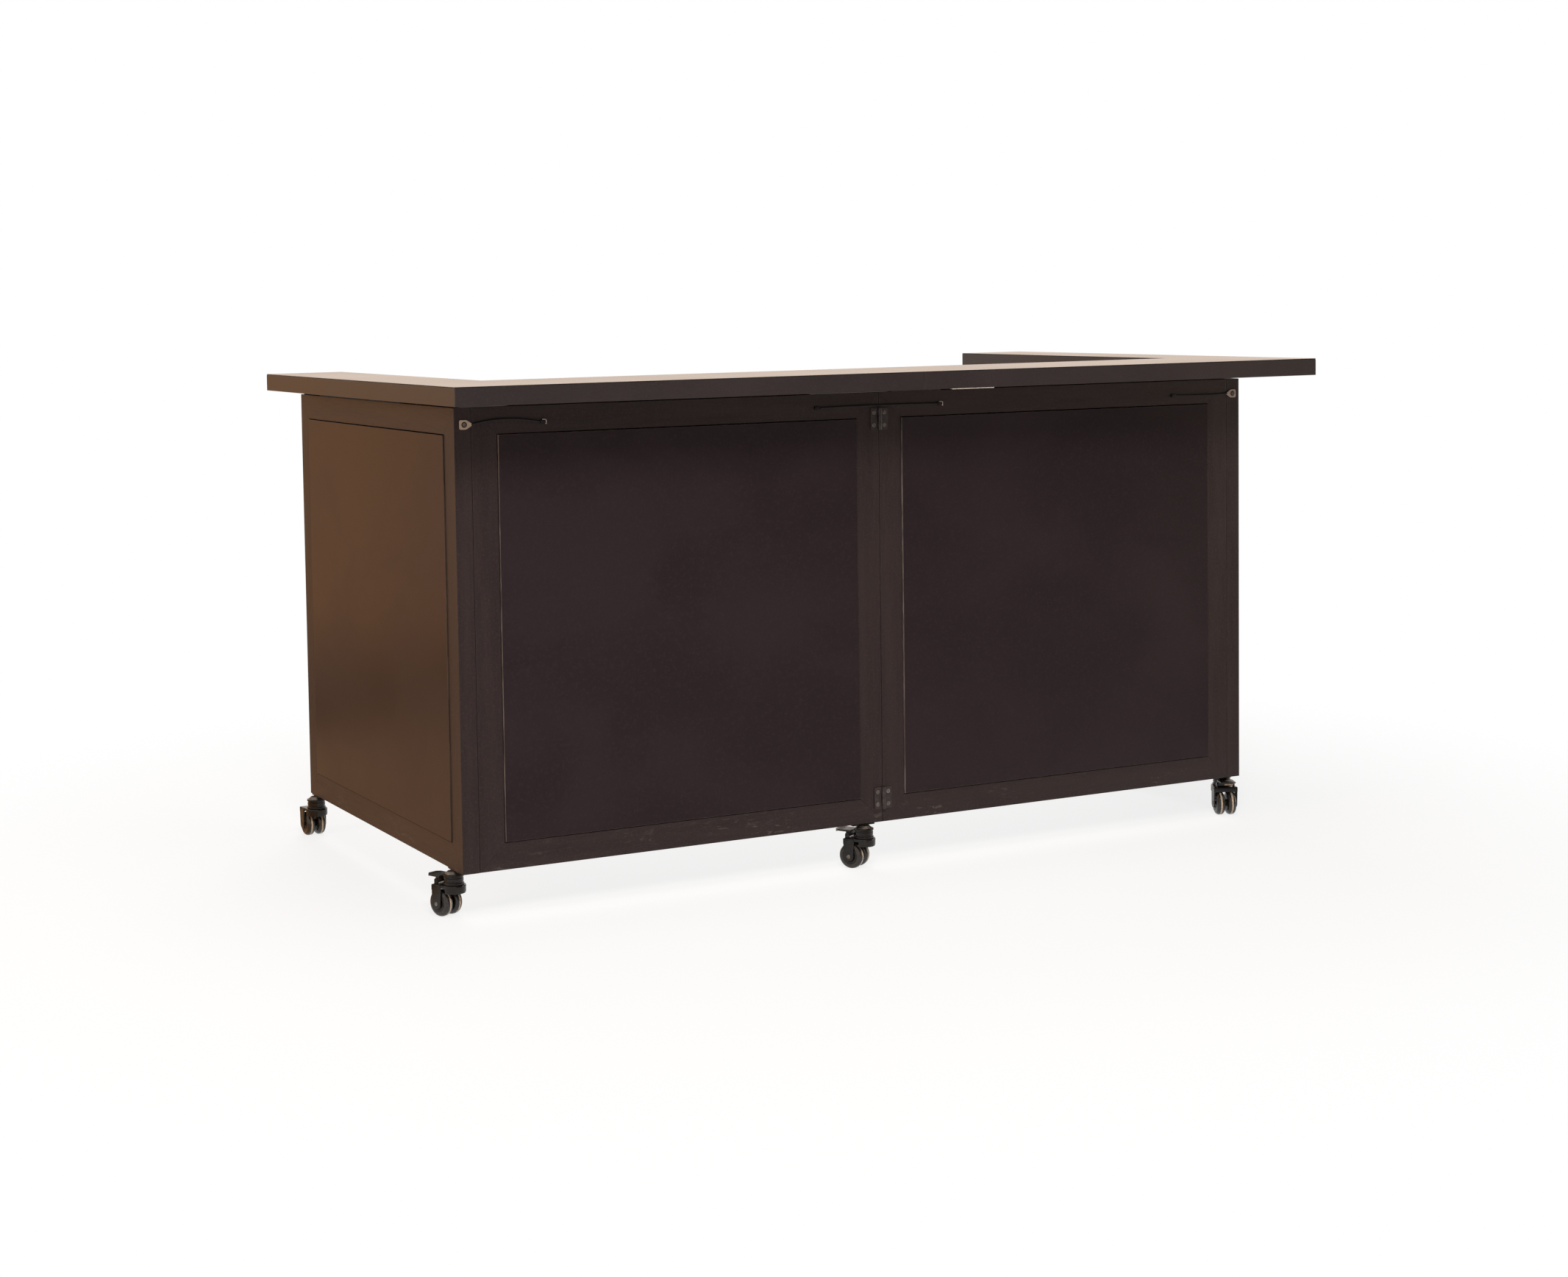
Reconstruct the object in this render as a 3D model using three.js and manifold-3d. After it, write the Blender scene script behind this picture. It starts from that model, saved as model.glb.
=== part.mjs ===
// Folding portable bar: two front panels and two wings on casters, with a counter in two lift-off halves.
// Millimetres, +Z up. X = 0 is the seam between the halves, Y = 0 the middle of the counter's depth,
// Z = 0 the floor. The front of the bar faces -Y.
import * as THREE from "three";
import { mergeVertices } from "three/addons/utils/BufferGeometryUtils.js";
import Module from "manifold-3d";

const wasm = await Module();
wasm.setup();

// Heights
const BAR_HEIGHT = 1079;
const CASTER_HEIGHT = 97;
const TOP_THICK = 38;
const PAD_HEIGHT = 10;
const TOP_UNDERSIDE = BAR_HEIGHT - TOP_THICK;
const PANEL_TOP = TOP_UNDERSIDE - PAD_HEIGHT;
const PANEL_BOTTOM = CASTER_HEIGHT;

// Clearances
const FIT = 0.3; // between touching pieces
const PANEL_GAP = 1; // between neighbouring panels, and between the counter halves
const PIN_CLEARANCE = 0.3;
const CUT_OVERRUN = 1; // how far a cutting solid runs past what it cuts
const WELD = 0.0003; // corners closer than this are one corner

// Panels: a mitred frame with a raised infill let in from behind
const PANEL_WIDTH = 945;
const PANEL_THICK = 36.5;
const FRAME_FACE = 55;
const FRAME_LIP = 12;
const REBATE_WIDTH = 10;
const INFILL_PROUD = 2.5;
const INFILL_GAP = 1.5; // shadow line between the field and its frame
const INFILL_FLANGE = 8;
const MITRE_LINE = 0.8;
const MITRE_STOP = 3; // how far short of each corner a mitre line ends
const BODY_HALF = PANEL_GAP / 2 + PANEL_WIDTH + PANEL_GAP / 2 + PANEL_THICK;

// Counter
const SIDE_OVERHANG = 70;
const FRONT_OVERHANG = 182;
const REAR_OVERHANG = 36;
const COUNTER_DEPTH = 305;
const RETURN_WIDTH = 182;
const TOP_EDGE_CHAMFER = 1.5;
const TOP_HALF = BODY_HALF + SIDE_OVERHANG;
const TOP_DEPTH = FRONT_OVERHANG + PANEL_WIDTH + REAR_OVERHANG;
const TOP_FRONT = -TOP_DEPTH / 2;
const FACE_Y = TOP_FRONT + FRONT_OVERHANG; // outer face of the front panels
const BACK_Y = FACE_Y + PANEL_THICK; // inner face of the front panels

// Rubber pads on the panel tops, measured along each panel
const PAD_WIDTH = 24;
const PAD_LENGTH = 110;
const REAR_PAD_LENGTH = 40;
const WING_FRONT_PAD_AT = 46;
const WING_MIDDLE_PAD_AT = 205;
const WING_REAR_PAD_INSET = 5;
const FRONT_PAD_AT = 300; // from the seam

// Cleats that drop behind the front panels, and the plate that lines the halves up
const CLEAT_THICK = 7;
const CLEAT_DROP = 20;
const CLEAT_LENGTH = 700;
const CLEAT_FROM_SEAM = 150;
const CLEAT_CLEARANCE = 1;
const JOIN_PLATE_THICK = 3;
const JOIN_PLATE_LENGTH = 120;
const JOIN_PLATE_WIDTH = 90;
const JOIN_PLATE_INSET = 32; // from the counter's front edge

// Hinges. The axis stands off the face that the leaf is screwed to.
const KNUCKLES = 3;
const KNUCKLE_GAP = 0.4;
const SCREW_HOLE_R = 2.2;
const SCREW_HEAD_R = 4.4;
const CENTRE_HINGE = {
  knuckleR: 4,
  pinR: 2,
  leafThick: 2,
  standOff: 5,
  leafWidth: 21.5,
  height: 47,
  screwInset: 10,
};
const CORNER_HINGE = {
  knuckleR: 6,
  pinR: 3,
  leafThick: 2.5,
  standOff: 7,
  leafWidth: 28,
  height: 60,
  screwInset: 13,
};
const CENTRE_HINGE_LOW = PANEL_BOTTOM + 29;
const CENTRE_HINGE_HIGH = PANEL_TOP - 81;
const CORNER_HINGE_LOW = PANEL_BOTTOM + 33;
const CORNER_HINGE_HIGH = PANEL_TOP - 96;

// Casters. The wheels trail behind the swivel axis, which is 0 in each caster's own X and Y.
const WHEEL_R = 27.5;
const TREAD_WIDTH = 20;
const TREAD_ROUND = 7;
const TREAD_SPACE = 6; // between the two wheels
const HUB_R = 13;
const HUB_DISH = 2.5;
const AXLE_R = 4;
const TRAIL = 23;
const CHEEK_GAP = 1.5; // from wheel to cheek
const CHEEK_THICK = 3.5;
const CHEEK_END_R = 11;
const HOOD_UNDERSIDE = 60;
const HOOD_TOP = 67;
const HOOD_NOSE = 25;
const HOOD_TAIL = 36;
const NECK_R = 20;
const NECK_RING_R = 21.5;
const NECK_RING = 3.5;
const NECK_TOP = 88;
const CAP_R = 14;
const KINGPIN_R = 5;
const KINGPIN_HEAD_R = 8;
const KINGPIN_HEAD = 2.2;
const PLATE_THICK = 3;
const PLATE_LENGTH = 56;
const PLATE_OUT = 1.5; // from the swivel axis towards the outer face
const PLATE_IN = 31; // from the swivel axis towards the inner face
const CASTER_INSET = 3; // swivel axis to the panel's outer face
const WHEELS_HALF = TREAD_WIDTH + TREAD_SPACE / 2;
const CHEEK_IN = WHEELS_HALF + CHEEK_GAP;
const CHEEK_OUT = CHEEK_IN + CHEEK_THICK;

// Where each caster stands along its panel, and which way its wheels trail (degrees from +X)
const WING_FRONT_CASTER_AT = 60;
const WING_REAR_CASTER_AT = PANEL_WIDTH - 30;
const CENTRE_CASTER_FROM_SEAM = 47;
const FRONT_LEFT_TRAIL = 112;
const REAR_LEFT_TRAIL = 92;
const FRONT_RIGHT_TRAIL = 246;
const REAR_RIGHT_TRAIL = 88;
const CENTRE_TRAIL = 121;

// Brake pedals, each on a cross pin between two ears of its hood
const PEDAL_HALF = 18;
const PEDAL_PIVOT_X = 30;
const PEDAL_PIVOT_Z = 73;
const PEDAL_FOOT_R = 4.5;
const PEDAL_START = 24;
const PEDAL_TIP = 63;
const PEDAL_CORNER = 8; // cut off each corner of the tip
const PEDAL_LOW = 79;
const PEDAL_THICK = 4;
const PEDAL_LIP = 3; // how far the tip turns down
const PEDAL_PIN_R = 1.8;
const EAR_THICK = 3;
const EAR_R = 5;
const EAR_IN = PEDAL_HALF + FIT;
const EAR_OUT = EAR_IN + EAR_THICK;

// Elastic cords across the three folds, with screwed tabs on the wings and clips on the front panels
const CORD_R = 2.1;
const CORD_SIDES = 10;
const CORD_STEPS = 14;
const CORD_END_GAP = 1; // from a cord's end to its tab or clip
const CORD_Z = PANEL_TOP - 34;
const CORNER_CORD_RISE = 8;
const CENTRE_CORD_RISE = 1.5;
const CENTRE_CORD_Z = PANEL_TOP - 30;
const CORNER_CORD_END = 184; // from the wing's outer face
const CENTRE_CORD_END = 147; // from the seam
const CLIP_LENGTH = 13;
const CLIP_HEIGHT = 8;
const CLIP_THICK = 4.2;
const TAB_LENGTH = 26;
const TAB_HEIGHT = 19;
const TAB_NECK = 5;
const TAB_THICK = 2.5;
const TAB_HOLE_R = 3;
const TAB_AT = 11; // from the wing's outer face to the tab's blunt end
const TAB_HOLE_AT = 10; // from the blunt end to the hole
const TAB_SHOULDER = 15; // from the blunt end to where the tab starts to taper

const ROUND = 20; // sides of a turned caster piece
const SMALL_ROUND = 12; // sides of a hinge knuckle, pin or screw hole
const RIGHT_ANGLE = Math.PI / 2;
const LEFT = -1;
const RIGHT = 1;

// Finishes
const FINISHES = {
  frame: { color: 0x2c2627, roughness: 0.42, metalness: 0 },
  infill: { color: 0x231c1f, roughness: 0.38, metalness: 0 },
  counter: { color: 0x2e2728, roughness: 0.3, metalness: 0 },
  blackSteel: { color: 0x1b191a, roughness: 0.45, metalness: 0.8 },
  caster: { color: 0x1a1614, roughness: 0.32, metalness: 0.3 },
  tread: { color: 0x161312, roughness: 0.4, metalness: 0 },
  rubber: { color: 0x121212, roughness: 0.85, metalness: 0 },
  elastic: { color: 0x0d0c10, roughness: 0.9, metalness: 0 },
  tab: { color: 0xe6d8cc, roughness: 0.5, metalness: 0 },
  bareSteel: { color: 0xb9b4ae, roughness: 0.35, metalness: 0.9 },
};

const group = new THREE.Group();
group.name = "folding_portable_bar";

// Adds one named piece. The matrix, if there is one, moves it into place.
function piece(name, finish, shape, matrix) {
  const geometry = shape instanceof wasm.Manifold ? toGeometry(shape) : shape;
  if (matrix) geometry.applyMatrix4(matrix);
  geometry.computeVertexNormals();
  const mesh = new THREE.Mesh(geometry, new THREE.MeshStandardMaterial(FINISHES[finish]));
  mesh.name = name;
  group.add(mesh);
}

function toSolid(geometry) {
  const bare = geometry.clone();
  bare.deleteAttribute("normal");
  bare.deleteAttribute("uv");
  const merged = mergeVertices(bare, WELD);
  return new wasm.Manifold(
    new wasm.Mesh({
      numProp: 3,
      vertProperties: new Float32Array(merged.attributes.position.array),
      triVerts: new Uint32Array(merged.index.array),
    }),
  );
}

function toGeometry(solid) {
  const mesh = solid.getMesh();
  const geometry = new THREE.BufferGeometry();
  geometry.setAttribute("position", new THREE.BufferAttribute(new Float32Array(mesh.vertProperties), 3));
  geometry.setIndex(new THREE.BufferAttribute(new Uint32Array(mesh.triVerts), 1));
  return geometry;
}

// A box between two opposite corners, given in either order.
function block(x0, x1, y0, y1, z0, z1) {
  const geometry = new THREE.BoxGeometry(Math.abs(x1 - x0), Math.abs(y1 - y0), Math.abs(z1 - z0));
  geometry.translate((x0 + x1) / 2, (y0 + y1) / 2, (z0 + z1) / 2);
  return toSolid(geometry);
}

// A cylinder along Z.
function post(radius, z0, z1, x = 0, y = 0) {
  const geometry = new THREE.CylinderGeometry(radius, radius, z1 - z0, SMALL_ROUND);
  geometry.rotateX(RIGHT_ANGLE);
  geometry.translate(x, y, (z0 + z1) / 2);
  return toSolid(geometry);
}

// A cylinder along Y, centred on the XZ plane.
function crossPin(radius, length, x, z) {
  const geometry = new THREE.CylinderGeometry(radius, radius, length, SMALL_ROUND);
  geometry.translate(x, 0, z);
  return toSolid(geometry);
}

// A profile drawn in X and Z, given depth from y0 to y1.
function profile(shape, y0, y1) {
  const geometry = new THREE.ExtrudeGeometry(shape, {
    depth: y1 - y0,
    bevelEnabled: false,
    curveSegments: ROUND / 2,
  });
  geometry.rotateX(RIGHT_ANGLE);
  geometry.translate(0, y1, 0);
  return toSolid(geometry);
}

// A turned piece about Z from points of [radius, height] that start and end on the axis, low to high.
function turned(points) {
  const outline = points.map(([radius, height]) => new THREE.Vector2(radius, height));
  const geometry = new THREE.LatheGeometry(outline, ROUND);
  geometry.rotateX(RIGHT_ANGLE);
  return toSolid(geometry);
}

function polygon(points) {
  return new THREE.Shape(points.map(([x, y]) => new THREE.Vector2(x, y)));
}

// Panels are drawn with X along the panel, Y from the outer face inwards. These put each one in its place.
function panelPlace(angle, x, y) {
  return new THREE.Matrix4().makeTranslation(x, y, 0).multiply(new THREE.Matrix4().makeRotationZ(angle));
}
const PLACES = {
  front_left: panelPlace(0, -PANEL_GAP / 2 - PANEL_WIDTH, FACE_Y),
  front_right: panelPlace(0, PANEL_GAP / 2, FACE_Y),
  left_wing: panelPlace(-RIGHT_ANGLE, -BODY_HALF, FACE_Y + PANEL_WIDTH),
  right_wing: panelPlace(RIGHT_ANGLE, BODY_HALF, FACE_Y),
};

function mitreLine(x, z, angle) {
  const length = FRAME_FACE * Math.SQRT2 - 2 * MITRE_STOP;
  const geometry = new THREE.BoxGeometry(length, MITRE_LINE * 2, MITRE_LINE);
  geometry.rotateY(angle);
  geometry.translate(x, 0, z);
  return toSolid(geometry);
}

function panelFrame() {
  const right = PANEL_WIDTH - FRAME_FACE;
  const low = PANEL_BOTTOM + FRAME_FACE;
  const high = PANEL_TOP - FRAME_FACE;
  const half = FRAME_FACE / 2;
  let frame = block(0, PANEL_WIDTH, 0, PANEL_THICK, PANEL_BOTTOM, PANEL_TOP);
  frame = frame.subtract(block(FRAME_FACE, right, -CUT_OVERRUN, PANEL_THICK + CUT_OVERRUN, low, high));
  frame = frame.subtract(
    block(
      FRAME_FACE - REBATE_WIDTH,
      right + REBATE_WIDTH,
      FRAME_LIP,
      PANEL_THICK + CUT_OVERRUN,
      low - REBATE_WIDTH,
      high + REBATE_WIDTH,
    ),
  );
  const slope = Math.PI / 4;
  frame = frame.subtract(mitreLine(half, PANEL_BOTTOM + half, -slope));
  frame = frame.subtract(mitreLine(half, PANEL_TOP - half, slope));
  frame = frame.subtract(mitreLine(PANEL_WIDTH - half, PANEL_BOTTOM + half, slope));
  frame = frame.subtract(mitreLine(PANEL_WIDTH - half, PANEL_TOP - half, -slope));
  return frame;
}

function panelInfill() {
  const left = FRAME_FACE + INFILL_GAP;
  const right = PANEL_WIDTH - FRAME_FACE - INFILL_GAP;
  const low = PANEL_BOTTOM + FRAME_FACE + INFILL_GAP;
  const high = PANEL_TOP - FRAME_FACE - INFILL_GAP;
  const flangeFront = FRAME_LIP + FIT;
  const flangeWidth = REBATE_WIDTH + INFILL_GAP - FIT;
  const field = block(left, right, -INFILL_PROUD, flangeFront + INFILL_FLANGE, low, high);
  const flange = block(
    left - flangeWidth,
    right + flangeWidth,
    flangeFront,
    flangeFront + INFILL_FLANGE,
    low - flangeWidth,
    high + flangeWidth,
  );
  return field.add(flange);
}

for (const [name, place] of Object.entries(PLACES)) {
  piece(name + "_frame", "frame", panelFrame(), place);
  piece(name + "_infill", "infill", panelInfill(), place);
}

// Pads: start and length are along the panel.
function pad(name, place, start, length) {
  const middle = PANEL_THICK / 2;
  const shape = block(
    start,
    start + length,
    middle - PAD_WIDTH / 2,
    middle + PAD_WIDTH / 2,
    PANEL_TOP + FIT,
    TOP_UNDERSIDE - FIT,
  );
  piece(name, "rubber", shape, place);
}
// The left wing's own X runs from its rear end to its front end, the right wing's the other way.
const LEFT_WING_END = PANEL_WIDTH;
const RIGHT_REAR_PAD_AT = PANEL_WIDTH - WING_REAR_PAD_INSET - REAR_PAD_LENGTH;
pad("front_left_pad", PLACES.front_left, PANEL_WIDTH - FRONT_PAD_AT - PAD_LENGTH, PAD_LENGTH);
pad("front_right_pad", PLACES.front_right, FRONT_PAD_AT, PAD_LENGTH);
pad("left_wing_front_pad", PLACES.left_wing, LEFT_WING_END - WING_FRONT_PAD_AT - PAD_LENGTH, PAD_LENGTH);
pad("left_wing_middle_pad", PLACES.left_wing, LEFT_WING_END - WING_MIDDLE_PAD_AT - PAD_LENGTH, PAD_LENGTH);
pad("left_wing_rear_pad", PLACES.left_wing, WING_REAR_PAD_INSET, REAR_PAD_LENGTH);
pad("right_wing_front_pad", PLACES.right_wing, WING_FRONT_PAD_AT, PAD_LENGTH);
pad("right_wing_middle_pad", PLACES.right_wing, WING_MIDDLE_PAD_AT, PAD_LENGTH);
pad("right_wing_rear_pad", PLACES.right_wing, RIGHT_REAR_PAD_AT, REAR_PAD_LENGTH);

// One L-shaped half of the counter. side is LEFT or RIGHT.
function counterHalf(side) {
  const seam = (side * PANEL_GAP) / 2;
  const end = side * TOP_HALF;
  const inner = side * (TOP_HALF - RETURN_WIDTH);
  const shape = polygon([
    [seam, TOP_FRONT],
    [end, TOP_FRONT],
    [end, TOP_FRONT + TOP_DEPTH],
    [inner, TOP_FRONT + TOP_DEPTH],
    [inner, TOP_FRONT + COUNTER_DEPTH],
    [seam, TOP_FRONT + COUNTER_DEPTH],
  ]);
  const geometry = new THREE.ExtrudeGeometry(shape, {
    depth: TOP_THICK - 2 * TOP_EDGE_CHAMFER,
    bevelEnabled: true,
    bevelThickness: TOP_EDGE_CHAMFER,
    bevelSize: TOP_EDGE_CHAMFER,
    bevelOffset: -TOP_EDGE_CHAMFER,
    bevelSegments: 1,
  });
  geometry.translate(0, 0, TOP_UNDERSIDE + TOP_EDGE_CHAMFER);
  return toSolid(geometry);
}

function cleat(side) {
  const near = side * CLEAT_FROM_SEAM;
  const far = side * (CLEAT_FROM_SEAM + CLEAT_LENGTH);
  const front = BACK_Y + CLEAT_CLEARANCE;
  return block(near, far, front, front + CLEAT_THICK, TOP_UNDERSIDE - CLEAT_DROP, TOP_UNDERSIDE - FIT);
}

piece("left_counter", "counter", counterHalf(LEFT));
piece("right_counter", "counter", counterHalf(RIGHT));
piece("left_counter_cleat", "frame", cleat(LEFT));
piece("right_counter_cleat", "frame", cleat(RIGHT));
piece(
  "counter_joining_plate",
  "blackSteel",
  block(
    -JOIN_PLATE_LENGTH / 2,
    JOIN_PLATE_LENGTH / 2,
    TOP_FRONT + JOIN_PLATE_INSET,
    TOP_FRONT + JOIN_PLATE_INSET + JOIN_PLATE_WIDTH,
    TOP_UNDERSIDE - FIT - JOIN_PLATE_THICK,
    TOP_UNDERSIDE - FIT,
  ),
);

// A hinge leaf with its axis along Z at 0, screwed to a face at y = standOff, reaching to the given side.
// The pinned leaf holds the pin and the outer knuckles, the other one the middle knuckle.
function hingeLeaf(hinge, side, pinned) {
  const third = hinge.height / KNUCKLES;
  const wall = hinge.standOff - FIT;
  const face = wall - hinge.leafThick;
  const root = side * (hinge.knuckleR + KNUCKLE_GAP);
  const spans = pinned
    ? [
        [0, third - KNUCKLE_GAP / 2],
        [hinge.height - third + KNUCKLE_GAP / 2, hinge.height],
      ]
    : [[third + KNUCKLE_GAP / 2, hinge.height - third - KNUCKLE_GAP / 2]];
  let leaf = block(root, side * hinge.leafWidth, face, wall, 0, hinge.height);
  for (const [low, high] of spans) {
    leaf = leaf.add(block(0, root + side * KNUCKLE_GAP, face, wall, low, high));
    leaf = leaf.add(post(hinge.knuckleR, low, high));
  }
  leaf = pinned
    ? leaf.add(post(hinge.pinR, 0, hinge.height))
    : leaf.subtract(post(hinge.pinR + PIN_CLEARANCE, -CUT_OVERRUN, hinge.height + CUT_OVERRUN));
  for (const z of [hinge.screwInset, hinge.height - hinge.screwInset]) {
    const hole = new THREE.CylinderGeometry(SCREW_HOLE_R, SCREW_HEAD_R, hinge.leafThick + FIT, SMALL_ROUND);
    hole.translate((root + side * hinge.leafWidth) / 2, (face + wall) / 2, z);
    leaf = leaf.subtract(toSolid(hole));
  }
  return leaf;
}

function hingePlace(x, y, z, angle) {
  return new THREE.Matrix4().makeTranslation(x, y, z).multiply(new THREE.Matrix4().makeRotationZ(angle));
}

const CENTRE_AXIS_Y = FACE_Y - CENTRE_HINGE.standOff;
const CORNER_AXIS_X = BODY_HALF - PANEL_THICK - CORNER_HINGE.standOff;
const CORNER_AXIS_Y = BACK_Y + CORNER_HINGE.standOff;

for (const [level, z] of [
  ["lower", CENTRE_HINGE_LOW],
  ["upper", CENTRE_HINGE_HIGH],
]) {
  const place = hingePlace(0, CENTRE_AXIS_Y, z, 0);
  piece(level + "_centre_hinge_left_leaf", "blackSteel", hingeLeaf(CENTRE_HINGE, LEFT, true), place);
  piece(level + "_centre_hinge_right_leaf", "blackSteel", hingeLeaf(CENTRE_HINGE, RIGHT, false), place);
}
for (const [level, z] of [
  ["lower", CORNER_HINGE_LOW],
  ["upper", CORNER_HINGE_HIGH],
]) {
  const left = [-CORNER_AXIS_X, CORNER_AXIS_Y, z];
  const right = [CORNER_AXIS_X, CORNER_AXIS_Y, z];
  const onFront = hingeLeaf(CORNER_HINGE, LEFT, true);
  piece(level + "_left_hinge_front_leaf", "blackSteel", onFront, hingePlace(...left, Math.PI));
  const onLeftWing = hingeLeaf(CORNER_HINGE, RIGHT, false);
  piece(level + "_left_hinge_wing_leaf", "blackSteel", onLeftWing, hingePlace(...left, RIGHT_ANGLE));
  const onOtherFront = hingeLeaf(CORNER_HINGE, RIGHT, true);
  piece(level + "_right_hinge_front_leaf", "blackSteel", onOtherFront, hingePlace(...right, Math.PI));
  const onRightWing = hingeLeaf(CORNER_HINGE, LEFT, false);
  piece(level + "_right_hinge_wing_leaf", "blackSteel", onRightWing, hingePlace(...right, -RIGHT_ANGLE));
}

// Fixed part of a caster: mounting plate, ringed neck and kingpin. The angle inward points to the panel's
// inner side.
function casterStem(inward) {
  const plateLow = CASTER_HEIGHT - FIT - PLATE_THICK;
  const neckLow = HOOD_TOP + FIT;
  const headTop = HOOD_UNDERSIDE - FIT;
  const turnedPart = turned([
    [0, headTop - KINGPIN_HEAD],
    [KINGPIN_HEAD_R, headTop - KINGPIN_HEAD],
    [KINGPIN_HEAD_R, headTop],
    [KINGPIN_R, headTop],
    [KINGPIN_R, neckLow],
    [NECK_RING_R, neckLow],
    [NECK_RING_R, neckLow + NECK_RING],
    [NECK_R, neckLow + NECK_RING],
    [NECK_R, NECK_TOP - NECK_RING],
    [NECK_RING_R, NECK_TOP - NECK_RING],
    [NECK_RING_R, NECK_TOP],
    [CAP_R, plateLow],
    [CAP_R, plateLow + PLATE_THICK / 2],
    [0, plateLow + PLATE_THICK / 2],
  ]);
  const half = PLATE_LENGTH / 2;
  const plate = block(-half, half, -PLATE_OUT, PLATE_IN, plateLow, plateLow + PLATE_THICK);
  const geometry = toGeometry(turnedPart.add(plate));
  geometry.rotateZ(inward - RIGHT_ANGLE);
  return geometry;
}

// Swivelling part of a caster: hood plate with two cheeks down to the axle, and ears for a pedal if it has
// one.
function casterHood(braked) {
  const plan = new THREE.Shape();
  plan.moveTo(0, -HOOD_NOSE);
  plan.lineTo(TRAIL, -CHEEK_OUT);
  plan.lineTo(HOOD_TAIL, -CHEEK_OUT);
  plan.lineTo(HOOD_TAIL, CHEEK_OUT);
  plan.lineTo(TRAIL, CHEEK_OUT);
  plan.lineTo(0, HOOD_NOSE);
  plan.absarc(0, 0, HOOD_NOSE, RIGHT_ANGLE, 3 * RIGHT_ANGLE, false);
  const depth = HOOD_TOP - HOOD_UNDERSIDE;
  const cover = new THREE.ExtrudeGeometry(plan, { depth, bevelEnabled: false, curveSegments: ROUND / 2 });
  cover.translate(0, 0, HOOD_UNDERSIDE);
  let hood = toSolid(cover);
  const side = new THREE.Shape();
  side.moveTo(TRAIL / 2, HOOD_TOP - FIT);
  side.lineTo(TRAIL - CHEEK_END_R, WHEEL_R);
  side.absarc(TRAIL, WHEEL_R, CHEEK_END_R, Math.PI, 2 * Math.PI, false);
  side.lineTo(HOOD_TAIL, HOOD_UNDERSIDE - CHEEK_END_R);
  side.lineTo(HOOD_TAIL, HOOD_TOP - FIT);
  hood = hood.add(profile(side, CHEEK_IN, CHEEK_OUT));
  hood = hood.add(profile(side, -CHEEK_OUT, -CHEEK_IN));
  if (braked) {
    const ear = new THREE.Shape();
    ear.moveTo(PEDAL_PIVOT_X - EAR_R, HOOD_TOP - FIT);
    ear.lineTo(PEDAL_PIVOT_X + EAR_R, HOOD_TOP - FIT);
    ear.lineTo(PEDAL_PIVOT_X + EAR_R, PEDAL_PIVOT_Z);
    ear.absarc(PEDAL_PIVOT_X, PEDAL_PIVOT_Z, EAR_R, 0, Math.PI, false);
    hood = hood.add(profile(ear, EAR_IN, EAR_OUT));
    hood = hood.add(profile(ear, -EAR_OUT, -EAR_IN));
    const across = 2 * (EAR_OUT + CUT_OVERRUN);
    hood = hood.subtract(crossPin(PEDAL_PIN_R + PIN_CLEARANCE, across, PEDAL_PIVOT_X, PEDAL_PIVOT_Z));
  }
  const holeLow = HOOD_UNDERSIDE - CUT_OVERRUN;
  const holeHigh = HOOD_TOP + CUT_OVERRUN;
  hood = hood.subtract(crossPin(AXLE_R + PIN_CLEARANCE, 2 * (CHEEK_OUT + CUT_OVERRUN), TRAIL, WHEEL_R));
  return hood.subtract(post(KINGPIN_R + PIN_CLEARANCE, holeLow, holeHigh));
}

// Two round-shouldered wheels on one axle, turned in one.
function casterWheels() {
  const inner = TREAD_SPACE / 2;
  const outer = inner + TREAD_WIDTH;
  const shoulder = WHEEL_R - TREAD_ROUND;
  const chamfer = TREAD_ROUND * (1 - Math.SQRT1_2);
  const end = CHEEK_OUT + FIT;
  const half = [
    [AXLE_R * 2, 0],
    [AXLE_R * 2, inner],
    [shoulder, inner],
    [WHEEL_R - chamfer, inner + chamfer],
    [WHEEL_R, inner + TREAD_ROUND],
    [WHEEL_R, outer - TREAD_ROUND],
    [WHEEL_R - chamfer, outer - chamfer],
    [shoulder, outer],
    [HUB_R, outer],
    [HUB_R - HUB_DISH, outer - HUB_DISH],
    [AXLE_R, outer - HUB_DISH],
    [AXLE_R, end],
    [0, end],
  ];
  const mirrored = half
    .slice(1)
    .reverse()
    .map(([radius, along]) => [radius, -along]);
  const geometry = toGeometry(turned([...mirrored, ...half]));
  geometry.rotateX(RIGHT_ANGLE);
  geometry.translate(TRAIL, 0, WHEEL_R);
  return geometry;
}

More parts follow.
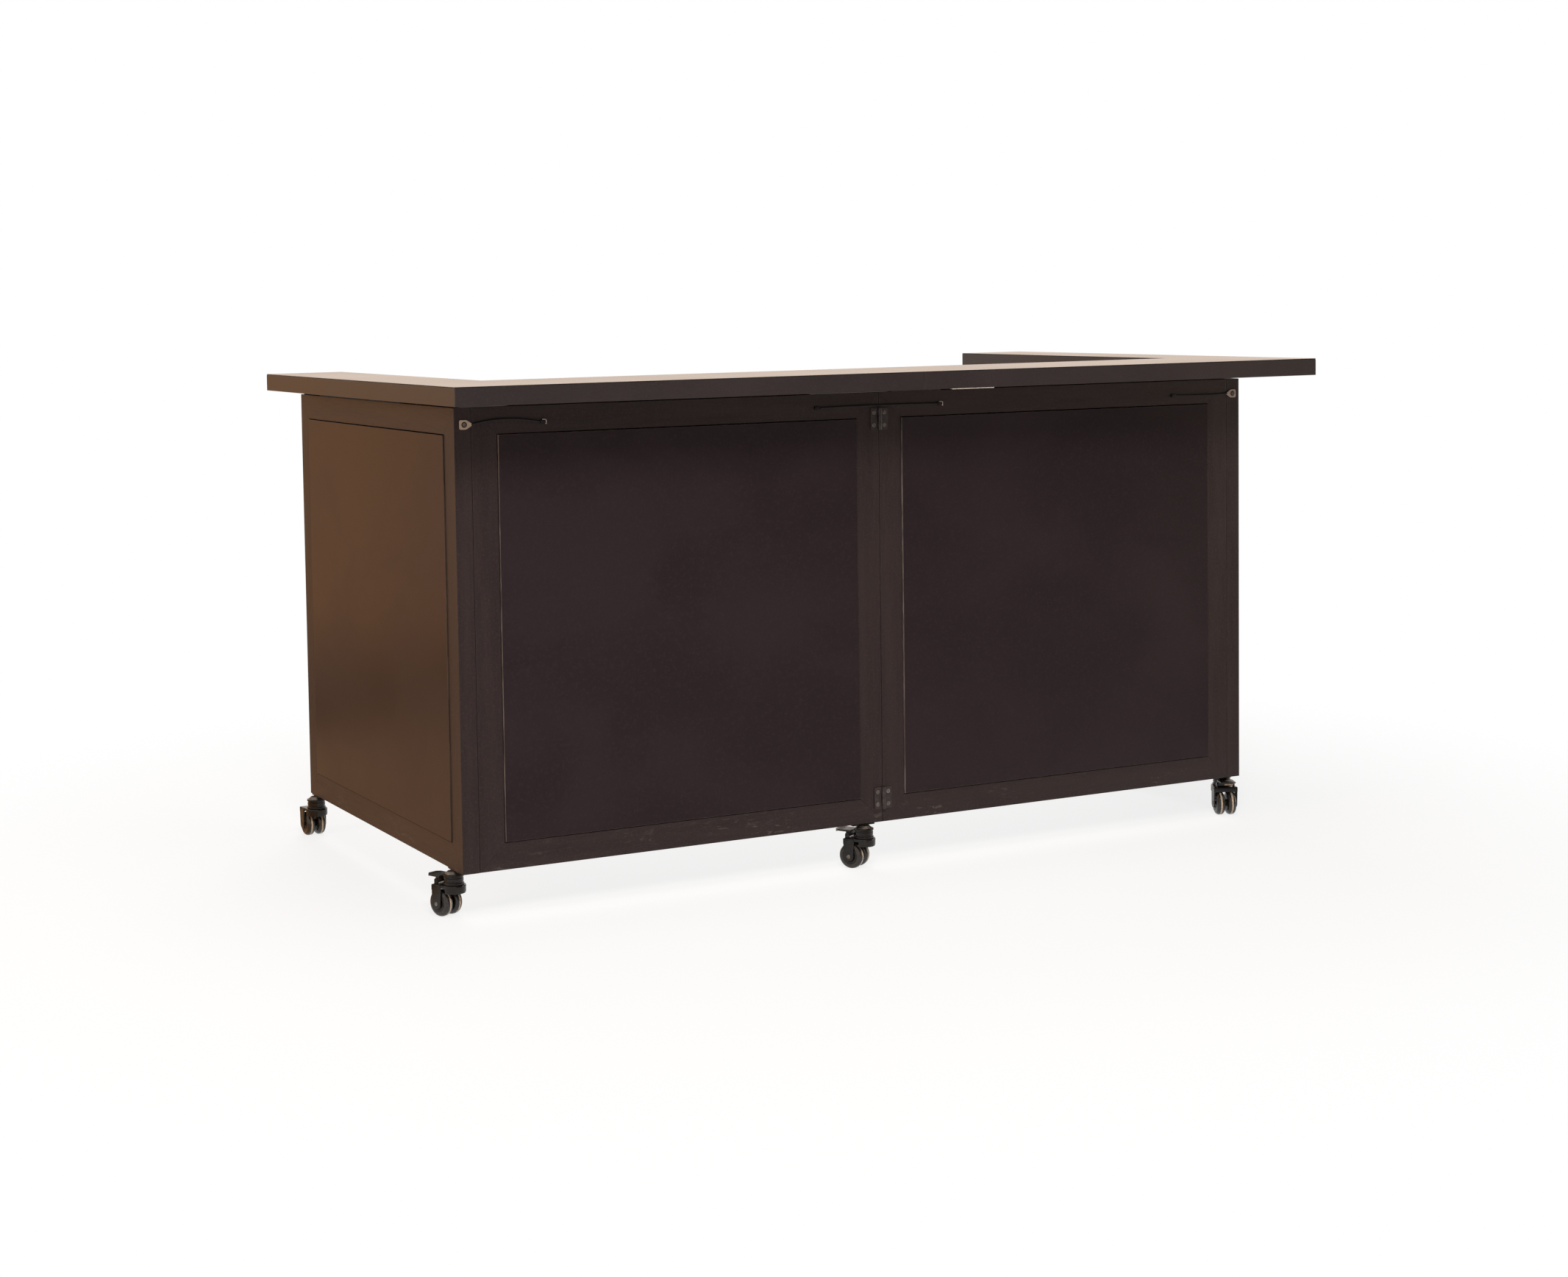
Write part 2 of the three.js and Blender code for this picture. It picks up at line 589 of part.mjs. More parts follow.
function brakePedal() {
  const shape = new THREE.Shape();
  const top = PEDAL_LOW + PEDAL_THICK;
  shape.moveTo(PEDAL_START, PEDAL_LOW);
  shape.lineTo(PEDAL_PIVOT_X - PEDAL_FOOT_R, PEDAL_LOW);
  shape.lineTo(PEDAL_PIVOT_X - PEDAL_FOOT_R, PEDAL_PIVOT_Z);
  shape.absarc(PEDAL_PIVOT_X, PEDAL_PIVOT_Z, PEDAL_FOOT_R, Math.PI, 2 * Math.PI, false);
  shape.lineTo(PEDAL_PIVOT_X + PEDAL_FOOT_R, PEDAL_LOW);
  shape.lineTo(PEDAL_TIP - PEDAL_THICK, PEDAL_LOW);
  shape.lineTo(PEDAL_TIP - PEDAL_THICK / 2, PEDAL_LOW - PEDAL_LIP);
  shape.lineTo(PEDAL_TIP, PEDAL_LOW - PEDAL_LIP);
  shape.lineTo(PEDAL_TIP, top - PEDAL_LIP / 2);
  shape.lineTo(PEDAL_TIP - PEDAL_LIP, top);
  shape.lineTo(PEDAL_START, top);
  const plan = new THREE.ExtrudeGeometry(
    polygon([
      [PEDAL_START - CUT_OVERRUN, -PEDAL_HALF],
      [PEDAL_TIP - PEDAL_CORNER, -PEDAL_HALF],
      [PEDAL_TIP, PEDAL_CORNER - PEDAL_HALF],
      [PEDAL_TIP, PEDAL_HALF - PEDAL_CORNER],
      [PEDAL_TIP - PEDAL_CORNER, PEDAL_HALF],
      [PEDAL_START - CUT_OVERRUN, PEDAL_HALF],
    ]),
    { depth: CASTER_HEIGHT, bevelEnabled: false },
  );
  const pin = crossPin(PEDAL_PIN_R, 2 * EAR_OUT, PEDAL_PIVOT_X, PEDAL_PIVOT_Z);
  const width = PEDAL_HALF + CUT_OVERRUN;
  return profile(shape, -width, width).intersect(toSolid(plan)).add(pin);
}

function caster(name, x, y, inward, trailDegrees, braked) {
  const fixed = new THREE.Matrix4().makeTranslation(x, y, 0);
  const swivelled = hingePlace(x, y, 0, THREE.MathUtils.degToRad(trailDegrees));
  piece(name + "_caster_stem", "caster", casterStem(inward), fixed);
  piece(name + "_caster_hood", "caster", casterHood(braked), swivelled);
  piece(name + "_caster_wheels", "tread", casterWheels(), swivelled);
  if (braked) piece(name + "_caster_pedal", "caster", brakePedal(), swivelled);
}

const WING_CASTER_X = BODY_HALF - CASTER_INSET;
const FRONT_CASTER_Y = FACE_Y + WING_FRONT_CASTER_AT;
const REAR_CASTER_Y = FACE_Y + WING_REAR_CASTER_AT;
caster("front_left", -WING_CASTER_X, FRONT_CASTER_Y, 0, FRONT_LEFT_TRAIL, true);
caster("rear_left", -WING_CASTER_X, REAR_CASTER_Y, 0, REAR_LEFT_TRAIL, false);
caster("front_right", WING_CASTER_X, FRONT_CASTER_Y, Math.PI, FRONT_RIGHT_TRAIL, true);
caster("rear_right", WING_CASTER_X, REAR_CASTER_Y, Math.PI, REAR_RIGHT_TRAIL, false);
caster("centre", -CENTRE_CASTER_FROM_SEAM, FACE_Y + CASTER_INSET, RIGHT_ANGLE, CENTRE_TRAIL, true);

// Elastic cords lie against the outer faces. Heights are given at the start, the middle and the end.
const CORD_Y = FACE_Y - FIT - CORD_R;
function cord(name, x0, x1, z0, rise, z1) {
  const path = new THREE.QuadraticBezierCurve3(
    new THREE.Vector3(x0, CORD_Y, z0),
    new THREE.Vector3((x0 + x1) / 2, CORD_Y, (z0 + z1) / 2 + 2 * rise),
    new THREE.Vector3(x1, CORD_Y, z1),
  );
  const ring = [];
  for (let i = 0; i < CORD_SIDES; i += 1) {
    const angle = (2 * Math.PI * i) / CORD_SIDES;
    ring.push([CORD_R * Math.cos(angle), CORD_R * Math.sin(angle)]);
  }
  const geometry = new THREE.ExtrudeGeometry(polygon(ring), { steps: CORD_STEPS, extrudePath: path });
  piece(name, "elastic", toSolid(geometry));
}

function clip(name, x, z) {
  const half = CLIP_HEIGHT / 2;
  const straight = CLIP_LENGTH / 2 - half;
  const shape = new THREE.Shape();
  shape.moveTo(x - straight, z - half);
  shape.lineTo(x + straight, z - half);
  shape.absarc(x + straight, z, half, -RIGHT_ANGLE, RIGHT_ANGLE, false);
  shape.lineTo(x - straight, z + half);
  shape.absarc(x - straight, z, half, RIGHT_ANGLE, 3 * RIGHT_ANGLE, false);
  piece(name, "bareSteel", profile(shape, FACE_Y - FIT - CLIP_THICK, FACE_Y - FIT));
}

// A tab is blunt at the end with the screw hole and tapers to the cord.
function tab(name, side) {
  const blunt = side * (BODY_HALF - TAB_AT);
  const half = TAB_HEIGHT / 2;
  const neck = TAB_NECK / 2;
  const shape = polygon([
    [blunt, CORD_Z - half],
    [blunt - side * TAB_SHOULDER, CORD_Z - half],
    [blunt - side * TAB_LENGTH, CORD_Z - neck],
    [blunt - side * TAB_LENGTH, CORD_Z + neck],
    [blunt - side * TAB_SHOULDER, CORD_Z + half],
    [blunt, CORD_Z + half],
  ]);
  const hole = new THREE.Path();
  hole.absarc(blunt - side * TAB_HOLE_AT, CORD_Z, TAB_HOLE_R, 0, 2 * Math.PI, false);
  shape.holes.push(hole);
  piece(name, "tab", profile(shape, FACE_Y - FIT - TAB_THICK, FACE_Y - FIT));
}

const CORNER_CORD_START_X = BODY_HALF - TAB_AT - TAB_LENGTH - CORD_END_GAP;
const CORNER_CORD_END_X = BODY_HALF - CORNER_CORD_END;
const CLIP_HALF = CLIP_LENGTH / 2;
cord("left_cord", -CORNER_CORD_START_X, -CORNER_CORD_END_X, CORD_Z, CORNER_CORD_RISE, CORD_Z);
cord("right_cord", CORNER_CORD_START_X, CORNER_CORD_END_X, CORD_Z, -CENTRE_CORD_RISE, CORD_Z);
cord("centre_cord", -CENTRE_CORD_END, CENTRE_CORD_END, CENTRE_CORD_Z, CENTRE_CORD_RISE, CENTRE_CORD_Z);
clip("left_cord_clip", -CORNER_CORD_END_X + CORD_END_GAP + CLIP_HALF, CORD_Z);
clip("right_cord_clip", CORNER_CORD_END_X - CORD_END_GAP - CLIP_HALF, CORD_Z);
clip("centre_cord_left_clip", -CENTRE_CORD_END - CORD_END_GAP - CLIP_HALF, CENTRE_CORD_Z);
clip("centre_cord_right_clip", CENTRE_CORD_END + CORD_END_GAP + CLIP_HALF, CENTRE_CORD_Z);
tab("left_cord_tab", LEFT);
tab("right_cord_tab", RIGHT);

export default group;
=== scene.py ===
from math import pi, radians

import bmesh
import bpy
from mathutils import Matrix, Vector


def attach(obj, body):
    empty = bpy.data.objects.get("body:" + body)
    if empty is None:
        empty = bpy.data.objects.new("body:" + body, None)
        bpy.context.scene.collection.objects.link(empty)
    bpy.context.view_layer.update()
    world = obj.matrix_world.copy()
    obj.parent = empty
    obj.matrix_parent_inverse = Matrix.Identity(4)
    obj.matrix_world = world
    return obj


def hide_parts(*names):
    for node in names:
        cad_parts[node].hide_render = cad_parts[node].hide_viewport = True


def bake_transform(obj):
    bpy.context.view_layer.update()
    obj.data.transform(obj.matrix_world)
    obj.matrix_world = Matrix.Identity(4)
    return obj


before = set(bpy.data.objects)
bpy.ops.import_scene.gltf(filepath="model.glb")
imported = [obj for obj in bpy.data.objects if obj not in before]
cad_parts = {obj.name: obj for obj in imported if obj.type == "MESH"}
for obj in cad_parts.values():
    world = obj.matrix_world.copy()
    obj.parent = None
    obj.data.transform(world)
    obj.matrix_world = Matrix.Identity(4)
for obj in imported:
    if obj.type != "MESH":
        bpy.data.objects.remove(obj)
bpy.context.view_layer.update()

MM = 0.001

# Sizes of the bar, in millimetres as in the part's source
FLOOR_TO_PANEL = 97
PANEL_TOP = 1031
PANEL_WIDTH = 945
PANEL_THICK = 36.5
FACE_Y = -399.5
BODY_HALF = 982.5
FRAME_FACE = 55
FRAME_LIP = 12
REBATE = 10
INFILL_PROUD = 2.5
INFILL_GAP = 1.5
INFILL_FLANGE = 8
FIT = 0.3
TOP_UNDERSIDE = 1041
BAR_HEIGHT = 1079
TOP_HALF = 1052.5
TOP_FRONT = -581.5
TOP_BACK = 581.5
COUNTER_DEPTH = 305
RETURN_WIDTH = 182
SEAM_HALF = 0.5


# Camera, solved on the straight edges of the bar in the photograph, in its pixels and in metres

def place_camera():
    width, height = 2132, 1736
    sensor = 36
    focal, centre_x, centre_y = 3329.8, 871.5, 605.2
    spot = (-2.7855, -4.8944, 1.2470)
    right = Vector((0.89649634, -0.4427475, -0.01640018))
    down = Vector((-0.04173234, -0.04753398, -0.99799746))
    ahead = Vector((0.44108131, 0.89538549, -0.06109093))
    data = bpy.data.cameras.new("camera")
    data.sensor_width = sensor
    data.lens = focal / width * sensor
    data.shift_x = (width / 2 - centre_x) / width
    data.shift_y = (centre_y - height / 2) / width
    data.clip_end = 100
    camera = bpy.data.objects.new("camera", data)
    bpy.context.scene.collection.objects.link(camera)
    axes = Matrix((right, -down, -ahead)).transposed().to_4x4()
    camera.matrix_world = Matrix.Translation(spot) @ axes
    bpy.context.scene.camera = camera


place_camera()


# Materials

class Finish:
    """One node material: a Principled shader with textures that feed it."""

    MIX_A, MIX_B, MIX_RESULT = 6, 7, 2  # colour sockets of the Mix node

    def __init__(self, name, metallic=0.0, specular=0.5):
        self.material = bpy.data.materials.new(name)
        self.material.use_nodes = True
        self.tree = self.material.node_tree
        self.shader = self.tree.nodes["Principled BSDF"]
        self.shader.inputs["Metallic"].default_value = metallic
        self.shader.inputs["Specular IOR Level"].default_value = specular
        self.where = self.tree.nodes.new("ShaderNodeTexCoord")

    def link(self, out, into):
        self.tree.links.new(out, into)

    def place(self, scale, source="Object"):
        """Texture coordinates in metres, times a scale."""
        mapping = self.tree.nodes.new("ShaderNodeMapping")
        mapping.inputs["Scale"].default_value = scale
        self.link(self.where.outputs[source], mapping.inputs["Vector"])
        return mapping.outputs["Vector"]

    def noise(self, scale, detail=3.0, source="Object", rough=0.55, warp=0.0):
        texture = self.tree.nodes.new("ShaderNodeTexNoise")
        texture.inputs["Scale"].default_value = 1.0
        texture.inputs["Detail"].default_value = detail
        texture.inputs["Roughness"].default_value = rough
        texture.inputs["Distortion"].default_value = warp
        self.link(self.place(scale, source), texture.inputs["Vector"])
        return texture.outputs["Fac"]

    def span(self, value, low, high, to_low=0.0, to_high=1.0):
        """Takes low to high of a value smoothly to a new range."""
        ranged = self.tree.nodes.new("ShaderNodeMapRange")
        ranged.interpolation_type = "SMOOTHSTEP"
        ranged.inputs["From Min"].default_value = low
        ranged.inputs["From Max"].default_value = high
        ranged.inputs["To Min"].default_value = to_low
        ranged.inputs["To Max"].default_value = to_high
        self.link(value, ranged.inputs["Value"])
        return ranged.outputs["Result"]

    def combine(self, how, a, b):
        total = self.tree.nodes.new("ShaderNodeMath")
        total.operation = how
        for value, socket in ((a, total.inputs[0]), (b, total.inputs[1])):
            if isinstance(value, (int, float)):
                socket.default_value = value
            else:
                self.link(value, socket)
        return total.outputs[0]

    def add(self, a, b):
        return self.combine("ADD", a, b)

    def times(self, a, b):
        return self.combine("MULTIPLY", a, b)

    def blend(self, amount, a, b):
        mixed = self.tree.nodes.new("ShaderNodeMix")
        mixed.data_type = "RGBA"
        self.link(amount, mixed.inputs["Factor"])
        for value, socket in ((a, mixed.inputs[self.MIX_A]), (b, mixed.inputs[self.MIX_B])):
            if isinstance(value, tuple):
                socket.default_value = (*value, 1.0)
            else:
                self.link(value, socket)
        return mixed.outputs[self.MIX_RESULT]

    def axis(self, letter):
        split = self.tree.nodes.new("ShaderNodeSeparateXYZ")
        self.link(self.where.outputs["Object"], split.inputs[0])
        return split.outputs[letter]

    def colour(self, out):
        self.link(out, self.shader.inputs["Base Color"])

    def roughness(self, out):
        self.link(out, self.shader.inputs["Roughness"])

    def bump(self, height, strength, depth):
        bump = self.tree.nodes.new("ShaderNodeBump")
        bump.inputs["Strength"].default_value = strength
        bump.inputs["Distance"].default_value = depth
        self.link(height, bump.inputs["Height"])
        self.link(bump.outputs["Normal"], self.shader.inputs["Normal"])


def frame_stain():
    """Black-stained wood: fine pores along each member, and scuffs near the floor."""
    f = Finish("frame_stain", specular=0.25)
    pores = f.noise((14, 420, 1), 4, "UV", 0.6)
    streaks = f.noise((2.2, 34, 1), 3, "UV", 0.5)
    speckle = f.noise((560, 560, 560), 2)
    cloud = f.noise((3.1, 3.1, 3.1), 3)
    tone = f.add(f.times(pores, 0.5), f.times(streaks, 0.5))
    base = f.blend(f.span(tone, 0.34, 0.66), (0.0200, 0.0130, 0.0133), (0.0300, 0.0202, 0.0200))
    base = f.blend(f.span(speckle, 0.54, 0.74, 0, 0.6), base, (0.056, 0.041, 0.040))
    mottle = f.noise((180, 180, 180), 2)
    base = f.blend(f.span(mottle, 0.5, 0.7, 0, 0.4), base, (0.044, 0.031, 0.030))
    base = f.blend(f.span(cloud, 0.42, 0.72, 0, 0.35), base, (0.036, 0.023, 0.022))
    near_floor = f.span(f.axis("Z"), 0.17, 0.09)
    rubbed = f.span(f.noise((38, 38, 150), 5, rough=0.7, warp=0.6), 0.53, 0.66)
    patch = f.span(f.noise((5.2, 5.2, 9), 2), 0.48, 0.62)
    scuff = f.times(f.times(near_floor, rubbed), patch)
    base = f.blend(f.times(scuff, 0.75), base, (0.125, 0.105, 0.094))
    f.colour(base)
    f.roughness(f.add(f.span(tone, 0.3, 0.7, 0.36, 0.48), f.times(scuff, 0.15)))
    f.bump(f.add(pores, f.times(speckle, 0.4)), 0.22, 0.0004)
    return f.material


def infill_laminate():
    """Black laminate with a fine pebble and a slow cloudy tone."""
    f = Finish("infill_laminate", specular=0.24)
    pebble = f.noise((520, 520, 520), 3, rough=0.6)
    cloud = f.noise((2.3, 2.3, 3.4), 4, rough=0.55, warp=0.4)
    base = f.blend(f.span(cloud, 0.36, 0.66), (0.0156, 0.0092, 0.0116), (0.0208, 0.0124, 0.0154))
    base = f.blend(f.span(pebble, 0.52, 0.72, 0, 0.55), base, (0.035, 0.023, 0.028))
    mottle = f.noise((170, 170, 170), 2)
    base = f.blend(f.span(mottle, 0.5, 0.7, 0, 0.4), base, (0.030, 0.019, 0.023))
    f.colour(base)
    f.roughness(f.span(cloud, 0.36, 0.66, 0.29, 0.36))
    f.bump(pebble, 0.07, 0.0003)
    return f.material


def infill_edge(name, dark, light):
    """Cut edge of an infill board's field, paler than its face in patches: a painted highlight on the front
    boards' edges, and painted light over the shade on the wings' edges.
    """
    f = Finish(name, specular=0.4)
    patches = f.noise((60, 60, 12), 4, rough=0.65)
    fine = f.noise((900, 900, 900), 2)
    f.colour(f.blend(f.span(patches, 0.38, 0.66), dark, light))
    f.roughness(f.span(patches, 0.3, 0.7, 0.3, 0.42))
    f.bump(fine, 0.06, 0.0002)
    return f.material


def counter_laminate(name, dark, light, rough, bump, specular):
    """Black laminate of the counter: a fine pebble over a slow cloudy tone."""
    f = Finish(name, specular=specular)
    pebble = f.noise((520, 520, 520), 3, rough=0.6)
    cloud = f.noise((2.6, 2.6, 2.6), 4, warp=0.3)
    base = f.blend(f.span(cloud, 0.34, 0.68), dark, light)
    base = f.blend(f.span(pebble, 0.54, 0.74, 0, 0.55), base, (0.056, 0.045, 0.043))
    f.colour(base)
    f.roughness(f.span(cloud, 0.3, 0.7, rough - 0.01, rough + 0.015))
    f.bump(pebble, bump, 0.0002)
    return f.material


def coated_steel(name, dark, light, rough, specular=0.5):
    """Black coating on steel, a little orange-peeled and rubbed."""
    f = Finish(name, specular=specular)
    peel = f.noise((1300, 1300, 1300), 2)
    patches = f.noise((90, 90, 90), 4, rough=0.7)
    f.colour(f.blend(f.span(patches, 0.45, 0.72), dark, light))
    f.roughness(f.span(patches, 0.35, 0.7, rough + 0.07, rough - 0.06))
    f.bump(peel, 0.18, 0.0003)
    return f.material


def bare_metal(name, dark, light, rough):
    """Bare bright metal with fine drawn lines."""
    f = Finish(name, metallic=1.0)
    drawn = f.noise((2600, 260, 260), 3)
    stain = f.noise((160, 160, 160), 3)
    f.colour(f.blend(f.span(stain, 0.36, 0.68), dark, light))
    f.roughness(f.span(drawn, 0.3, 0.7, rough - 0.06, rough + 0.1))
    f.bump(drawn, 0.1, 0.0001)
    return f.material


def wheel_tread(name, dark, light):
    """Hard tread, dusty in patches: black on the tyre, and pale on the crown as a painted highlight."""
    f = Finish(name, specular=0.5)
    dust_and_sheen = f.noise((210, 210, 210), 5, rough=0.7)
    fine = f.noise((1500, 1500, 1500), 2)
    f.colour(f.blend(f.span(dust_and_sheen, 0.4, 0.72), dark, light))
    f.roughness(f.span(dust_and_sheen, 0.3, 0.75, 0.2, 0.38))
    f.bump(fine, 0.15, 0.0002)
    return f.material


def pad_rubber():
    """Matt black rubber with a moulded grain."""
    f = Finish("pad_rubber", specular=0.35)
    grain = f.noise((1100, 1100, 1100), 3)
    chalk = f.noise((60, 60, 60), 4)
    f.colour(f.blend(f.span(chalk, 0.45, 0.75), (0.010, 0.010, 0.010), (0.026, 0.025, 0.024)))
    f.roughness(f.span(chalk, 0.3, 0.7, 0.7, 0.88))
    f.bump(grain, 0.3, 0.0004)
    return f.material


def cord_sheath():
    """Braided black sheath: strands cross in a fine lattice along the cord."""
    f = Finish("cord_sheath", specular=0.35)
    strands = []
    for lean in (1.0, -1.0):
        wave = f.tree.nodes.new("ShaderNodeTexWave")
        wave.wave_type = "BANDS"
        wave.bands_direction = "DIAGONAL"
        wave.inputs["Scale"].default_value = 1.0
        f.link(f.place((900, 4.0 * lean, 1), "UV"), wave.inputs["Vector"])
        strands.append(wave.outputs["Fac"])
    lattice = f.combine("MAXIMUM", *strands)
    fuzz = f.noise((2400, 2400, 2400), 2)
    f.colour(f.blend(f.span(lattice, 0.3, 0.95), (0.004, 0.004, 0.005), (0.018, 0.016, 0.018)))
    f.roughness(f.span(fuzz, 0.3, 0.7, 0.55, 0.8))
    f.bump(lattice, 0.5, 0.0004)
    return f.material


def tab_moulding():
    """Off-white moulding, handled and slightly grubby."""
    f = Finish("tab_moulding", specular=0.45)
    grubby = f.noise((260, 260, 260), 4, rough=0.7)
    fine = f.noise((1800, 1800, 1800), 2)
    f.colour(f.blend(f.span(grubby, 0.5, 0.78), (0.47, 0.37, 0.29), (0.26, 0.19, 0.14)))
    f.roughness(f.span(grubby, 0.3, 0.7, 0.38, 0.55))
    f.bump(fine, 0.12, 0.0002)
    return f.material


FRAME = frame_stain()
INFILL = infill_laminate()
# Pale side faces of the front boards' fields: a painted highlight along their edges.
FRONT_EDGE_HIGHLIGHT = infill_edge("front_infill_edge_painted_highlight", (0.090, 0.073, 0.067), (0.210, 0.182, 0.166))
# Side faces of the wings' fields, painted lighter than the board: painted light over the shade on these edges.
WING_EDGE_PAINTED_LIGHT = infill_edge("wing_infill_edge_painted_light", (0.044, 0.030, 0.021), (0.070, 0.048, 0.034))
EDGE_BAND = counter_laminate(
    "counter_edge_band", (0.0195, 0.0144, 0.0146), (0.0255, 0.0188, 0.0192), rough=0.36, bump=0.08, specular=0.44,
)
TOP_SHEET = counter_laminate(
    "counter_top_sheet", (0.024, 0.0175, 0.0165), (0.033, 0.0250, 0.0235), rough=0.19, bump=0.002, specular=0.5,
)
BLACK_STEEL = coated_steel("hinge_black", (0.030, 0.0245, 0.0238), (0.058, 0.048, 0.045), 0.4, 0.35)
CLIP_BLACK = coated_steel("clip_black", (0.004, 0.0035, 0.004), (0.010, 0.008, 0.009), 0.42, 0.3)
CASTER_BLACK = coated_steel("caster_black", (0.0065, 0.0050, 0.0041), (0.0170, 0.0130, 0.0102), 0.17, 0.3)
PEDAL_BLACK = coated_steel("pedal_black", (0.012, 0.0105, 0.0095), (0.040, 0.033, 0.027), 0.34, 0.35)
HUB = coated_steel("wheel_hub", (0.0080, 0.0064, 0.0054), (0.0200, 0.0160, 0.0130), 0.3, 0.3)
WORN_TIP = coated_steel("worn_pedal_tip", (0.16, 0.115, 0.080), (0.42, 0.33, 0.24), 0.36)
# Pale colour for the bright strip under the counter, and for the painted highlight on the cord clips' ends.
PALE_STRIP_AND_HIGHLIGHT = coated_steel("pale_strip_and_painted_highlight", (0.62, 0.54, 0.47), (0.86, 0.79, 0.71), 0.36)
SCREW_STEEL = coated_steel("screw_rim", (0.150, 0.122, 0.106), (0.260, 0.218, 0.192), 0.36)
# Near-black: painted shade in the screw heads' dishes, and the dark glue line of the counters.
RECESS_SHADE_AND_GLUE = coated_steel("screw_recess_shade_and_glue_line", (0.004, 0.004, 0.004), (0.010, 0.009, 0.009), 0.6)
CAP_GREY = bare_metal("caster_cap_grey", (0.13, 0.105, 0.085), (0.24, 0.20, 0.165), 0.4)
TREAD = wheel_tread("wheel_tread", (0.0100, 0.0076, 0.0060), (0.0320, 0.0245, 0.0180))
# A painted highlight: a pale band along the crown of each tyre.
CROWN_HIGHLIGHT = wheel_tread("wheel_crown_painted_highlight", (0.400, 0.310, 0.225), (0.700, 0.570, 0.430))
RUBBER = pad_rubber()
SHEATH = cord_sheath()
TAB = tab_moulding()


# Mesh helpers

SMOOTH_ANGLE = 32
HARDWARE_ANGLE = 40


def scaled(points):
    return [(a * MM, b * MM) for a, b in points]


def oblong(x0, x1, y0, y1):
    return [(x0, y0), (x1, y0), (x1, y1), (x0, y1)]


def round_edges(bm, edges, radius, segments=2):
    bmesh.ops.bevel(
        bm, geom=edges, offset=radius * MM, offset_type="OFFSET", affect="EDGES", segments=segments,
        profile=0.5, material=-1, clamp_overlap=True,
    )


def sharp_edges(bm, least=0.6):
    """Edges whose faces meet at more than this angle, in radians."""
    return [e for e in bm.edges if len(e.link_faces) == 2 and e.calc_face_angle(0) > least]


def slab(points, low, high, corners=(), radius=0.0, rim=0.0, segments=5):
    """A plate drawn in X and Y and given thickness in Z. The numbered corners are rounded, then its rims."""
    bm = bmesh.new()
    verts = [bm.verts.new((x, y, low * MM)) for x, y in scaled(points)]
    bm.faces.new(verts)
    if radius:
        bmesh.ops.bevel(
            bm, geom=[verts[i] for i in corners], offset=radius * MM, offset_type="OFFSET", affect="VERTICES",
            segments=segments, profile=0.5, material=-1, clamp_overlap=True,
        )
    grown = bmesh.ops.extrude_face_region(bm, geom=bm.faces[:])
    top = [g for g in grown["geom"] if isinstance(g, bmesh.types.BMVert)]
    bmesh.ops.translate(bm, verts=top, vec=(0, 0, (high - low) * MM))
    bmesh.ops.recalc_face_normals(bm, faces=bm.faces[:])
    if rim:
        ends = {f for f in bm.faces if abs(f.normal.z) > 0.9}
        round_edges(bm, [e for e in bm.edges if ends & set(e.link_faces)], rim)
    return bm


def spun(points, steps=48):
    """A turned piece about Z from points of (radius, height)."""
    bm = bmesh.new()
    verts = [bm.verts.new((r, 0, h)) for r, h in scaled(points)]
    edges = [bm.edges.new(pair) for pair in zip(verts, verts[1:])]
    bmesh.ops.spin(
        bm, geom=verts + edges, cent=(0, 0, 0), axis=(0, 0, 1), angle=2 * pi, steps=steps, use_merge=True,
    )
    bmesh.ops.remove_doubles(bm, verts=bm.verts[:], dist=1e-6)
    bmesh.ops.recalc_face_normals(bm, faces=bm.faces[:])
    return bm


def ring_edges(bm, radius, height, slack=0.05):
    """Edges of a turned piece that run round it at this radius and height."""
    def on_ring(vert):
        return abs(vert.co.xy.length / MM - radius) < slack and abs(vert.co.z / MM - height) < slack

    return [e for e in bm.edges if all(on_ring(v) for v in e.verts)]


def moved(bm, matrix):
    bmesh.ops.transform(bm, matrix=matrix, verts=bm.verts[:])
    return bm


def joined(*parts):
    """Several meshes as one. Each part keeps its material number."""
    whole = bmesh.new()
    for part in parts:
        mesh = bpy.data.meshes.new("part")
        part.to_mesh(mesh)
        part.free()
        whole.from_mesh(mesh)
        bpy.data.meshes.remove(mesh)
    return whole


def numbered(bm, number):
    """Gives all faces one material number."""
    for face in bm.faces:
        face.material_index = number
    return bm


def shift(x, y, z):
    return Matrix.Translation((x * MM, y * MM, z * MM))


def turn(degrees, letter):
    return Matrix.Rotation(radians(degrees), 4, letter)


def upright(bm):
    """Stands a plate drawn in X and Y on edge: its Y becomes Z, and its thickness runs towards -Y."""
    return moved(bm, turn(90, "X"))


def flatten(piece):
    """Gives broad faces their own normal, so that their rounded edges don't shade them."""
    weighted = piece.modifiers.new("weighted", "WEIGHTED_NORMAL")
    weighted.weight = 100
    weighted.keep_sharp = True
    graph = bpy.context.evaluated_depsgraph_get()
    mesh = bpy.data.meshes.new_from_object(piece.evaluated_get(graph))
    piece.modifiers.clear()
    piece.data = mesh


def make(name, bm, materials, body, nodes=(), angle=SMOOTH_ANGLE):
    """Turns a mesh into a piece of the bar. It rides on a body, if one is given, and stands for its nodes."""
    mesh = bpy.data.meshes.new(name)
    bm.to_mesh(mesh)
    bm.free()
    for material in materials if isinstance(materials, (list, tuple)) else [materials]:
        mesh.materials.append(material)
    mesh.shade_smooth()
    mesh.set_sharp_from_angle(angle=radians(angle))
    piece = bpy.data.objects.new(name, mesh)
    bpy.context.scene.collection.objects.link(piece)
    if body:
        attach(piece, body)
        flatten(piece)
    if nodes:
        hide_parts(*nodes)
    return piece


# Panels, drawn with X along the panel and Y from the outer face inwards

